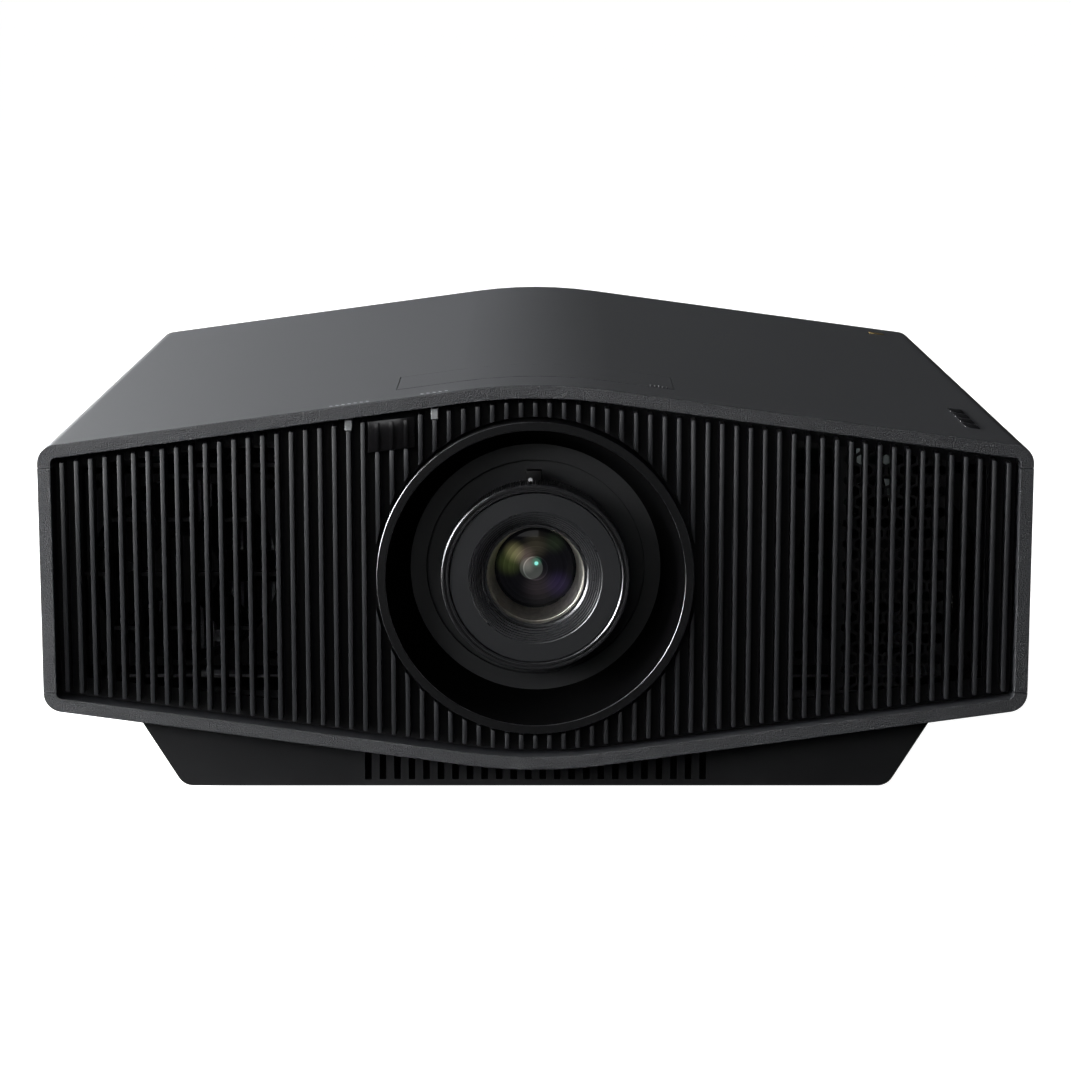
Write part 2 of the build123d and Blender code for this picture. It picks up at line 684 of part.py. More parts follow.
def rotor(centre):
    """Hub, seven pitched blades and an axle."""
    front = FAN_FRONT + 1.5
    hub = rod_y(17.5, centre, front, front + 18.5, FAN_Z)
    hub = chamfer(hub.edges().filter_by_position(Axis.Y, front - 0.01, front + 0.01), 1.5)
    blades = []
    for i in range(7):
        blade = Pos(28.8, 0, 0) * Rot(38, 0, 0) * Box(26, 1.4, 21)
        blade &= Rot(90, 0, 0) * Cylinder(42.6, 60)
        blades.append(Pos(centre, front + 9.5, FAN_Z) * Rot(0, i * 360 / 7, 0) * blade)
    axle = rod_y(2.0, centre, front + 18, FAN_FRONT + FAN_DEPTH - 0.5, FAN_Z)
    return hub + blades + axle


def power_supply_board():
    board = block(78, 188, -76, 196, 54, 55.6)
    board += [rod_z(3.0, x, y, 49.6, 54.2) for x in (84, 182) for y in (-70, 30, 190)]
    board += block(96, 136, 110, 152, 55, 92)
    board += block(150, 180, 100, 140, 55, 84)
    board += [rod_z(12.0, x, 70, 55, 100) for x in (100, 130)]
    board += [rod_z(6.0, x, 30, 55, 78) for x in (95, 112, 129, 146, 163)]
    board += [block(88, 178, y, y + 2, 55, 98) for y in (-5, -66)]
    board += block(110, 160, -50, -20, 55, 80)
    board += block(138, 166, 172, 190, 55, 66)
    return board


def main_board():
    board = block(BOARD_X - 1.6, BOARD_X, 22, 196, 64, 152)
    board += block(BOARD_X - 12, BOARD_X - 1, 80, 120, 95, 135)
    board += [block(BOARD_X - 3.4, BOARD_X - 1, y, y + 16, 72, 88) for y in (40, 64, 132, 156)]
    board += [block(BOARD_X - 7, BOARD_X - 1, y, y + 22, 140, 147) for y in (34, 140)]
    board += [block(BOARD_X - 1.6, 200.0, y, y + 4, 53.5, 66) for y in (30, 184)]
    return board


def control_board():
    board = block(-221.6, -220.0, 92, 198, 88, 124)
    board += [rod_x(2.0, -224.4, -221, y, KEY_Z) for y in ROUND_KEYS.values()]
    board += rod_x(2.0, -224.4, -221, PAD_Y, KEY_Z)
    for dy, dz in ((12.5, 0), (-12.5, 0), (0, 12.5), (0, -12.5)):
        board += rod_x(1.6, -224.4, -221, PAD_Y + dy, KEY_Z + dz)
    board += [rod_x(3.0, -227.0, -221, y, z) for y, z in ((94.5, 91), (94.5, 121), (178, 91), (178, 121))]
    return board


def power_inlet():
    """Recessed three-blade mains inlet with a fixing flange."""
    x, z = INLET
    body = block(x - 14, x + 14, 205, 231.2, z - 10, z + 10)
    body += block(x - 20, x + 20, REAR_BACK + 0.1, 231.2, z - 12.5, z + 12.5)
    body -= block(x - 12.2, x + 12.2, 212, 235, z - 8.2, z + 8.2)
    body -= [rod_y(1.7, x + dx, 225, 235, z) for dx in (-17, 17)]
    blades = [block(x + dx - 1, x + dx + 1, 211, 225.5, z + dz - 2, z + dz + 2) for dx, dz in ((-7, -1), (0, 3), (7, -1))]
    return body + blades


def video_sockets():
    sockets = []
    for y in HDMI_Y:
        socket = block(BOARD_X, SOCKET_FACE, y - 7.4, y + 7.4, SOCKET_Z - 2.9, SOCKET_Z + 2.9)
        socket -= block(204, 220, y - 6.9, y + 6.9, SOCKET_Z - 2.3, SOCKET_Z + 2.3)
        socket += block(203, 209.0, y - 5.0, y + 5.0, SOCKET_Z - 0.2, SOCKET_Z + 0.8)
        sockets.append(socket)
    return Compound(children=sockets)


def network_socket():
    y = NETWORK_Y
    socket = block(BOARD_X, SOCKET_FACE, y - 8, y + 8, SOCKET_Z - 6.8, SOCKET_Z + 6.8)
    socket -= block(203, 220, y - 5.9, y + 5.9, SOCKET_Z - 3.4, SOCKET_Z + 4.6)
    socket -= block(203, 220, y - 2.5, y + 2.5, SOCKET_Z - 5.6, SOCKET_Z - 3)
    return socket


def usb_sockets():
    sockets = []
    for z in USB_Z:
        socket = block(BOARD_X, SOCKET_FACE, USB_Y - 7.2, USB_Y + 7.2, z - 3.5, z + 3.5)
        socket -= block(202, 220, USB_Y - 6.3, USB_Y + 6.3, z - 2.5, z + 2.5)
        socket += block(201, 209.0, USB_Y - 5.6, USB_Y + 5.6, z + 0.2, z + 2.0)
        sockets.append(socket)
    return Compound(children=sockets)


def jack_sockets():
    sockets = []
    for z in JACK_Z:
        socket = rod_x(4.0, BOARD_X, SOCKET_FACE, JACK_Y, z)
        socket -= rod_x(1.8, SOCKET_FACE - 15, 220, JACK_Y, z)
        sockets.append(socket)
    return Compound(children=sockets)


def round_key(y, radius):
    key = rod_x(radius, KEY_FACE, -225.8, y, KEY_Z)
    key += rod_x(radius + 1.5, -226.8, -225.8, y, KEY_Z)
    return fillet(key.edges().filter_by_position(Axis.X, KEY_FACE - 0.01, KEY_FACE + 0.01), 0.4)


def arrow_key_ring():
    """Ring with four small raised arrows."""
    ring = rod_x(PAD_OUTER, KEY_FACE + 0.2, -225.8, PAD_Y, KEY_Z)
    ring += rod_x(PAD_OUTER + 1.5, -226.8, -225.8, PAD_Y, KEY_Z)
    for i in range(4):
        arrow = polygon([(11.0, -2.0), (11.0, 2.0), (14.0, 0.0)])
        arrow = extrude(arrow, amount=0.4)
        turned_arrow = Rot(0, -90, 0) * Rot(0, 0, 90 * i) * arrow
        ring += Pos(KEY_FACE + 0.4, PAD_Y, KEY_Z) * turned_arrow
    return ring - rod_x(PAD_INNER, -232, -220, PAD_Y, KEY_Z)


def enter_key():
    return round_key(PAD_Y, ENTER_RADIUS) & rod_x(ENTER_RADIUS + 0.01, -232, -220, PAD_Y, KEY_Z)


def foot_pad(x, y):
    pad = rod_z(16.0, x, y, 0, 3.6)
    pad = fillet(pad.edges().filter_by_position(Axis.Z, -0.01, 0.01), 0.8)
    return pad - rod_z(5.3, x, y, 1.6, 5)


def foot_screw(x, y):
    """Head buried in the pad, threaded stem up into the base."""
    return rod_z(5.0, x, y, 1.7, 3.6) + rod_z(4.0, x, y, 3.0, 27.0)


def rear_feet():
    feet = []
    for x, y in REAR_FEET:
        foot = rod_z(13.0, x, y, 0, 3.9)
        foot = fillet(foot.edges().filter_by_position(Axis.Z, -0.01, 0.01), 0.8)
        feet.append(foot + rod_z(2.5, x, y, 3, 10))
    return Compound(children=feet)


def casing_screws():
    screws = []
    for x, y in CASE_SCREWS:
        screw = rod_z(4.0, x, y, 43.2, 45.9) + rod_z(1.65, x, y, 45, 84)
        screw -= block(x - 2.6, x + 2.6, y - 0.6, y + 0.6, 40, 44.4)
        screws.append(screw - block(x - 0.6, x + 0.6, y - 2.6, y + 2.6, 40, 44.4))
    return Compound(children=screws)


def mount_inserts():
    inserts = []
    for x, y in MOUNT_HOLES:
        inserts.append(rod_z(4.4, x, y, BASE_BOTTOM + 0.1, 15.9) - rod_z(2.5, x, y, 0, 14))
    return Compound(children=inserts)


tube = casing_tube()
pieces = {
    "upper_shell": upper_shell(tube),
    "lower_shell": lower_shell(tube),
    "left_side_panel": left_side_panel(tube),
    "right_side_panel": right_side_panel(tube),
    "base_pan": base_pan(),
    "rear_panel": rear_panel(),
    "filter_cover": filter_cover(),
    "air_filter": air_filter(),
    "front_grille": front_grille(),
    "infrared_window": infrared_window(),
    "indicator_lenses": indicator_lenses(),
    "exhaust_guard": exhaust_guard(),
    "intake_screen": intake_screen(),
    "lens_shift_lid": lens_shift_lid(),
    "lid_hinge_guides": lid_hinge_guides(),
    "lens_hood": lens_hood(),
    "shroud_disc": shroud_disc(),
    "lens_barrel": lens_barrel(),
    "zoom_ring": zoom_ring(),
    "focus_ring": focus_ring(),
    "front_lens_cell": front_lens_cell(),
    "front_glass": front_glass(),
    "zoom_lens_group": zoom_lens_group(),
    "rear_lens_group": rear_lens_group(),
    "lens_mount_frame": lens_mount_frame(),
    "horizontal_carriage": horizontal_carriage(),
    "vertical_carriage": vertical_carriage(),
    "horizontal_shift_dial": shift_dial(-DIAL_X),
    "vertical_shift_dial": shift_dial(DIAL_X),
    "chassis_tray": chassis_tray(),
    "optical_engine": optical_engine(),
    "combiner_prism": combiner_prism(),
    "imaging_panels": imaging_panels(),
    "laser_module": laser_module(),
    "phosphor_wheel": phosphor_wheel(),
    "wheel_motor": wheel_motor(),
    "laser_heat_sink": laser_heat_sink(),
    "fan_frames": fan_frames(),
    "exhaust_rotor": rotor(EXHAUST_X),
    "intake_rotor": rotor(INTAKE_X),
    "power_supply_board": power_supply_board(),
    "main_board": main_board(),
    "control_board": control_board(),
    "power_inlet": power_inlet(),
    "video_sockets": video_sockets(),
    "network_socket": network_socket(),
    "usb_sockets": usb_sockets(),
    "jack_sockets": jack_sockets(),
    "arrow_key_ring": arrow_key_ring(),
    "enter_key": enter_key(),
    "left_foot_pad": foot_pad(*FRONT_FEET[0]),
    "left_foot_screw": foot_screw(*FRONT_FEET[0]),
    "right_foot_pad": foot_pad(*FRONT_FEET[1]),
    "right_foot_screw": foot_screw(*FRONT_FEET[1]),
    "rear_feet": rear_feet(),
    "casing_screws": casing_screws(),
    "mount_inserts": mount_inserts(),
}
for name, key_y in ROUND_KEYS.items():
    pieces[name] = round_key(key_y, ROUND_KEY_RADIUS)

os.makedirs("parts", exist_ok=True)
for name, shape in pieces.items():
    export_step(shape, f"parts/{name}.step")
    print(name, len(shape.solids()), [round(v, 1) for v in (*shape.bounding_box().min, *shape.bounding_box().max)])
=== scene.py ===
from math import atan2, cos, pi, radians, sin, sqrt

import bmesh
import bpy
from mathutils import Matrix, Vector


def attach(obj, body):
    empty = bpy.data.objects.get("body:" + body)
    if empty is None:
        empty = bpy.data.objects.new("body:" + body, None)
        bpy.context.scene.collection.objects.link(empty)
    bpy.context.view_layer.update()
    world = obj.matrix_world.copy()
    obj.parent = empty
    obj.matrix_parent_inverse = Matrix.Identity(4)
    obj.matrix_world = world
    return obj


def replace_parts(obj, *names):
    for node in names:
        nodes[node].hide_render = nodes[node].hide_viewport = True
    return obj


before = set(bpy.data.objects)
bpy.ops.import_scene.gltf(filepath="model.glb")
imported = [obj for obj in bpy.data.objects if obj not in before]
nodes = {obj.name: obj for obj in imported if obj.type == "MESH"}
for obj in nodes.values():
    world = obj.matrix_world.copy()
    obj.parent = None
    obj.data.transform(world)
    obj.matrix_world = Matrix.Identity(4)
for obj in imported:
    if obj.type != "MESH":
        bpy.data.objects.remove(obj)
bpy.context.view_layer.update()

# Camera, floor and studio.
# A long lens looks slightly down on the front. Floor and backdrop are pale card that glows of itself.
# Soft boxes light the object from the left, from behind on both sides, from in front and from overhead.
CAMERA_DOWN = 10.161
camera = bpy.data.objects.new("camera", bpy.data.cameras.new("camera"))
camera.location = (0.0, -1.6224, 0.3760)
camera.rotation_euler = (radians(90.0 - CAMERA_DOWN), 0.0, 0.0)
camera.data.sensor_width = 36.0
camera.data.lens = 102.27
camera.data.clip_end = 400.0
bpy.context.scene.collection.objects.link(camera)
bpy.context.scene.camera = camera
bpy.context.scene.view_settings.view_transform = "Standard"


def card_paper(name, glow, tone):
    """Pale card with a faint tooth."""
    material = bpy.data.materials.new(name)
    material.use_nodes = True
    tree = material.node_tree
    shader = tree.nodes["Principled BSDF"]
    shader.inputs["Roughness"].default_value = 0.9
    shader.inputs["Specular IOR Level"].default_value = 0.0
    shader.inputs["Emission Strength"].default_value = glow
    shader.inputs["Emission Color"].default_value = (1.0, 1.0, 1.0, 1.0)
    place = tree.nodes.new("ShaderNodeTexCoord")
    tooth = tree.nodes.new("ShaderNodeTexNoise")
    tooth.inputs["Scale"].default_value = 40.0
    tree.links.new(place.outputs["Object"], tooth.inputs["Vector"])
    ramp = tree.nodes.new("ShaderNodeValToRGB")
    ramp.color_ramp.elements[0].color = (tone * 0.97, tone * 0.97, tone * 0.97, 1)
    ramp.color_ramp.elements[1].color = (tone, tone, tone, 1)
    tree.links.new(tooth.outputs["Fac"], ramp.inputs["Fac"])
    tree.links.new(ramp.outputs["Color"], shader.inputs["Base Color"])
    return material


def studio_card(name, size, place, turn, material):
    """Flat square card that only the camera sees."""
    card = bmesh.new()
    bmesh.ops.create_grid(card, x_segments=1, y_segments=1, size=size / 2)
    mesh = bpy.data.meshes.new(name)
    card.to_mesh(mesh)
    card.free()
    thing = bpy.data.objects.new(name, mesh)
    thing.location = place
    thing.rotation_euler = turn
    thing.data.materials.append(material)
    thing.visible_diffuse = False
    thing.visible_glossy = False
    thing.visible_transmission = False
    bpy.context.scene.collection.objects.link(thing)


CARD_SIZE = 60.0
studio_card("floor", CARD_SIZE, (0, 0, 0), (0, 0, 0), card_paper("floor_card", 1.0, 0.35))
for side in range(4):
    angle = side * pi / 2
    place = (CARD_SIZE / 2 * sin(angle), CARD_SIZE / 2 * cos(angle), 10)
    paper = card_paper(f"backdrop_card_{side}", 1.0, 0.3)
    studio_card(f"backdrop_{side}", CARD_SIZE, place, (pi / 2, 0, -angle), paper)

world = bpy.data.worlds.new("studio")
world.use_nodes = True
world.node_tree.nodes["Background"].inputs["Color"].default_value = (0.92, 0.96, 1.0, 1.0)
world.node_tree.nodes["Background"].inputs["Strength"].default_value = 0.01
bpy.context.scene.world = world


def soft_box(name, place, target, wide, high, power, tint):
    """Flat lamp of a given width and height, turned towards a point."""
    light = bpy.data.lights.new(name, "AREA")
    light.shape = "RECTANGLE"
    light.size = wide
    light.size_y = high
    light.energy = power
    light.color = tint
    holder = bpy.data.objects.new(name, light)
    holder.location = place
    holder.rotation_euler = (Vector(target) - Vector(place)).to_track_quat("-Z", "Y").to_euler()
    bpy.context.scene.collection.objects.link(holder)


DAYLIGHT = (0.98, 0.99, 1.0)
SKYLIGHT = (0.97, 0.985, 1.0)
soft_box("left_box", (-1.3, -0.5, 0.45), (0, 0, 0.12), 0.6, 0.6, 51.0, DAYLIGHT)
soft_box("left_front_box", (-1.2, -1.5, 0.65), (0, -0.1, 0.12), 0.6, 0.6, 15.0, DAYLIGHT)
soft_box("left_back_box", (-1.6, 1.2, 0.50), (0, 0, 0.15), 1.3, 0.9, 228.0, SKYLIGHT)
soft_box("front_box", (-0.4, -2.3, 0.85), (0, 0, 0.1), 1.0, 0.7, 6.5, DAYLIGHT)
soft_box("right_back_box", (1.7, 0.8, 0.30), (0.2, 0, 0.1), 0.9, 0.6, 10.0, DAYLIGHT)
soft_box("top_box", (-0.6, 0.1, 1.7), (0, 0, 0.1), 1.0, 0.8, 5.0, (0.97, 0.98, 1.0))


def finished(shape, name, body, materials, smooth=32.0):
    """Closes a worked mesh, gives it its materials and fixes it to its body."""
    bmesh.ops.recalc_face_normals(shape, faces=shape.faces)
    for face in shape.faces:
        face.smooth = True
    mesh = bpy.data.meshes.new(name)
    shape.to_mesh(mesh)
    shape.free()
    mesh.set_sharp_from_angle(angle=radians(smooth))
    for material in materials:
        mesh.materials.append(material)
    piece = bpy.data.objects.new(name, mesh)
    bpy.context.scene.collection.objects.link(piece)
    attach(piece, body)
    return piece


def coat_nodes(names, material):
    """Gives these carried-over parts their finish."""
    for name in names:
        nodes[name].data.materials.clear()
        nodes[name].data.materials.append(material)


def moulded_plastic(name, dark, light, roughness, grain_scale, grain_depth, cloud_scale=30.0, shine=0.5):
    """Injection-moulded plastic: slight unevenness of colour and gloss over a fine spark-eroded skin."""
    material = bpy.data.materials.new(name)
    material.use_nodes = True
    tree = material.node_tree
    link = tree.links.new
    shader = tree.nodes["Principled BSDF"]
    shader.inputs["Specular IOR Level"].default_value = shine
    place = tree.nodes.new("ShaderNodeTexCoord")
    cloud = tree.nodes.new("ShaderNodeTexNoise")
    cloud.inputs["Scale"].default_value = cloud_scale
    cloud.inputs["Detail"].default_value = 4.0
    link(place.outputs["Object"], cloud.inputs["Vector"])
    tone = tree.nodes.new("ShaderNodeValToRGB")
    tone.color_ramp.elements[0].position = 0.3
    tone.color_ramp.elements[0].color = (*dark, 1)
    tone.color_ramp.elements[1].position = 0.7
    tone.color_ramp.elements[1].color = (*light, 1)
    link(cloud.outputs["Fac"], tone.inputs["Fac"])
    link(tone.outputs["Color"], shader.inputs["Base Color"])
    gloss = tree.nodes.new("ShaderNodeMapRange")
    gloss.inputs["To Min"].default_value = roughness - 0.05
    gloss.inputs["To Max"].default_value = roughness + 0.05
    link(cloud.outputs["Fac"], gloss.inputs["Value"])
    link(gloss.outputs["Result"], shader.inputs["Roughness"])
    grain = tree.nodes.new("ShaderNodeTexNoise")
    grain.inputs["Scale"].default_value = grain_scale
    grain.inputs["Detail"].default_value = 2.0
    link(place.outputs["Object"], grain.inputs["Vector"])
    bump = tree.nodes.new("ShaderNodeBump")
    bump.inputs["Distance"].default_value = 0.0002
    bump.inputs["Strength"].default_value = grain_depth
    link(grain.outputs["Fac"], bump.inputs["Height"])
    link(bump.outputs["Normal"], shader.inputs["Normal"])
    return material


def metal(name, dark, light, roughness, stretch=(1.0, 1.0, 1.0), scratch=0.25):
    """Bare or plated metal with drawn or machined marks running one way."""
    material = bpy.data.materials.new(name)
    material.use_nodes = True
    tree = material.node_tree
    link = tree.links.new
    shader = tree.nodes["Principled BSDF"]
    shader.inputs["Metallic"].default_value = 1.0
    place = tree.nodes.new("ShaderNodeTexCoord")
    along = tree.nodes.new("ShaderNodeMapping")
    along.inputs["Scale"].default_value = stretch
    link(place.outputs["Object"], along.inputs["Vector"])
    marks = tree.nodes.new("ShaderNodeTexNoise")
    marks.inputs["Scale"].default_value = 420.0
    marks.inputs["Detail"].default_value = 5.0
    link(along.outputs["Vector"], marks.inputs["Vector"])
    tone = tree.nodes.new("ShaderNodeValToRGB")
    tone.color_ramp.elements[0].position = 0.3
    tone.color_ramp.elements[0].color = (*dark, 1)
    tone.color_ramp.elements[1].position = 0.7
    tone.color_ramp.elements[1].color = (*light, 1)
    link(marks.outputs["Fac"], tone.inputs["Fac"])
    link(tone.outputs["Color"], shader.inputs["Base Color"])
    gloss = tree.nodes.new("ShaderNodeMapRange")
    gloss.inputs["To Min"].default_value = max(roughness - 0.1, 0.05)
    gloss.inputs["To Max"].default_value = roughness + 0.12
    link(marks.outputs["Fac"], gloss.inputs["Value"])
    link(gloss.outputs["Result"], shader.inputs["Roughness"])
    bump = tree.nodes.new("ShaderNodeBump")
    bump.inputs["Distance"].default_value = 0.00008
    bump.inputs["Strength"].default_value = scratch
    link(marks.outputs["Fac"], bump.inputs["Height"])
    link(bump.outputs["Normal"], shader.inputs["Normal"])
    return material


# Base.
# One deep black moulding that the casing sits in, with a row of upright air slots in front. It is held to the
# keel from inside; the four ceiling-mount inserts are brass, heat-set into its bosses.
base_plastic = moulded_plastic(
    "base_plastic", (0.0060, 0.0060, 0.0068), (0.0085, 0.0085, 0.0094), 0.42, 1500.0, 0.18,
)
coat_nodes(["base_pan"], base_plastic)
brass = metal("insert_brass", (0.55, 0.40, 0.16), (0.72, 0.55, 0.25), 0.3, (1.0, 1.0, 6.0))
coat_nodes(["mount_inserts"], brass)

# Feet.
# Two front feet turn on plated screws to level the case and two rear feet are fixed. Each is a puck of soft
# black rubber with a slightly uneven skin.
rubber = moulded_plastic("foot_rubber", (0.012, 0.012, 0.012), (0.02, 0.02, 0.021), 0.78, 900.0, 0.5, 90.0)
coat_nodes(["left_foot_pad", "right_foot_pad", "rear_feet"], rubber)
zinc = metal("zinc_plate", (0.36, 0.37, 0.39), (0.52, 0.53, 0.55), 0.32, (1.0, 1.0, 8.0))
coat_nodes(["left_foot_screw", "right_foot_screw"], zinc)

# Chassis.
# Folded zinc-plated steel tray on the ribs of the lower shell. Everything inside is screwed to it.
tray_steel = metal("tray_steel", (0.40, 0.41, 0.43), (0.58, 0.59, 0.61), 0.38, (8.0, 1.0, 1.0), 0.15)
coat_nodes(["chassis_tray"], tray_steel)
screw_black = metal("screw_black", (0.03, 0.03, 0.032), (0.06, 0.06, 0.064), 0.4, (1.0, 1.0, 6.0))
coat_nodes(["casing_screws"], screw_black)

# Light engine and laser.
# Cast grey housing with a glass cube and three mirror-bright imaging chips, the finned laser block, its
# phosphor wheel and motor, and the extruded sink with heat pipes that the exhaust fan draws through.
cast_alloy = metal("cast_alloy", (0.20, 0.21, 0.22), (0.30, 0.31, 0.32), 0.5, (1.0, 1.0, 1.0), 0.6)
coat_nodes(["optical_engine"], cast_alloy)
machined_alloy = metal("machined_alloy", (0.42, 0.43, 0.45), (0.55, 0.56, 0.58), 0.33, (1.0, 8.0, 1.0))
coat_nodes(["laser_module", "lens_mount_frame", "horizontal_carriage", "vertical_carriage"], machined_alloy)
fin_alloy = metal("fin_alloy", (0.48, 0.49, 0.51), (0.62, 0.63, 0.65), 0.3, (1.0, 1.0, 10.0))
coat_nodes(["laser_heat_sink", "wheel_motor"], fin_alloy)
phosphor = metal("phosphor_coat", (0.62, 0.55, 0.12), (0.78, 0.70, 0.22), 0.45, (1.0, 1.0, 1.0), 0.2)
coat_nodes(["phosphor_wheel"], phosphor)
chip_mirror = metal("chip_mirror", (0.34, 0.36, 0.48), (0.46, 0.48, 0.58), 0.12, (1.0, 1.0, 1.0), 0.05)
coat_nodes(["imaging_panels"], chip_mirror)


def clear_glass(name, tint, roughness=0.02, ior=1.5):
    """Polished glass with the faintest unevenness in its polish."""
    material = bpy.data.materials.new(name)
    material.use_nodes = True
    tree = material.node_tree
    link = tree.links.new
    shader = tree.nodes["Principled BSDF"]
    shader.inputs["Transmission Weight"].default_value = 1.0
    shader.inputs["IOR"].default_value = ior
    place = tree.nodes.new("ShaderNodeTexCoord")
    polish = tree.nodes.new("ShaderNodeTexNoise")
    polish.inputs["Scale"].default_value = 120.0
    link(place.outputs["Object"], polish.inputs["Vector"])
    tone = tree.nodes.new("ShaderNodeValToRGB")
    tone.color_ramp.elements[0].color = (*[c * 0.96 for c in tint], 1)
    tone.color_ramp.elements[1].color = (*tint, 1)
    link(polish.outputs["Fac"], tone.inputs["Fac"])
    link(tone.outputs["Color"], shader.inputs["Base Color"])
    gloss = tree.nodes.new("ShaderNodeMapRange")
    gloss.inputs["To Min"].default_value = roughness
    gloss.inputs["To Max"].default_value = roughness + 0.02
    link(polish.outputs["Fac"], gloss.inputs["Value"])
    link(gloss.outputs["Result"], shader.inputs["Roughness"])
    return material


prism_glass = clear_glass("prism_glass", (0.86, 0.92, 0.98))
coat_nodes(["combiner_prism"], prism_glass)

# Circuit boards.
# Glass-fibre boards under a dark green or blue-green solder mask, dotted with dull pads. Screws hold them to
# the chassis.
def circuit_board(name, dark, light):
    """Solder mask with square pads left bare in it."""
    material = bpy.data.materials.new(name)
    material.use_nodes = True
    tree = material.node_tree
    link = tree.links.new
    shader = tree.nodes["Principled BSDF"]
    shader.inputs["Roughness"].default_value = 0.35
    place = tree.nodes.new("ShaderNodeTexCoord")
    pads = tree.nodes.new("ShaderNodeTexVoronoi")
    pads.distance = "CHEBYCHEV"
    pads.inputs["Scale"].default_value = 260.0
    pads.inputs["Randomness"].default_value = 0.55
    link(place.outputs["Object"], pads.inputs["Vector"])
    tone = tree.nodes.new("ShaderNodeValToRGB")
    tone.color_ramp.interpolation = "CONSTANT"
    tone.color_ramp.elements[0].color = (0.055, 0.050, 0.036, 1)
    tone.color_ramp.elements[1].position = 0.16
    tone.color_ramp.elements[1].color = (*light, 1)
    mask = tone.color_ramp.elements.new(0.34)
    mask.color = (*dark, 1)
    link(pads.outputs["Distance"], tone.inputs["Fac"])
    link(tone.outputs["Color"], shader.inputs["Base Color"])
    bump = tree.nodes.new("ShaderNodeBump")
    bump.inputs["Distance"].default_value = 0.0002
    bump.inputs["Strength"].default_value = 0.5
    link(pads.outputs["Distance"], bump.inputs["Height"])
    link(bump.outputs["Normal"], shader.inputs["Normal"])
    return material


supply_mask = circuit_board("supply_mask", (0.008, 0.030, 0.012), (0.014, 0.045, 0.018))
coat_nodes(["power_supply_board"], supply_mask)
logic_mask = circuit_board("logic_mask", (0.006, 0.022, 0.022), (0.010, 0.034, 0.032))
coat_nodes(["main_board", "control_board"], logic_mask)

# Fans, guard and screen.
# Two axial fans in black frames. The exhaust has a guard of thin uprights with short staggered bars, and the
# intake has a punched sheet held between two uprights.
# The fans are coloured darker than the other black parts: their black plastic with painted shade from inside
# the casing.
fan_black_painted_shade = moulded_plastic(
    "fan_black_painted_shade", (0.0022, 0.0022, 0.0026), (0.0034, 0.0034, 0.0038), 0.55, 700.0, 0.2, shine=0.25,
)
coat_nodes(["fan_frames", "exhaust_rotor", "intake_rotor"], fan_black_painted_shade)
guard_black = moulded_plastic(
    "guard_black", (0.0075, 0.0078, 0.0086), (0.0105, 0.0108, 0.0118), 0.5, 900.0, 0.3, shine=0.4,
)
coat_nodes(["exhaust_guard", "lid_hinge_guides"], guard_black)
screen_paint = moulded_plastic(
    "screen_paint", (0.0125, 0.0129, 0.0140), (0.0165, 0.0169, 0.0182), 0.5, 1300.0, 0.3,
)
coat_nodes(["intake_screen"], screen_paint)
foam = moulded_plastic("filter_foam", (0.05, 0.05, 0.055), (0.10, 0.10, 0.105), 0.9, 500.0, 0.9, 300.0)
coat_nodes(["air_filter"], foam)

# Casing.
# Upper and lower shells, two side panels and the lid over the shift wheels: thick mouldings painted graphite.
# Roof and sides are satin, and the narrow face round the front opening is sprayed with a sandy texture.
CASE_FACE_STARTS = -0.2353
CASE_FACE_ENDS = -0.2359


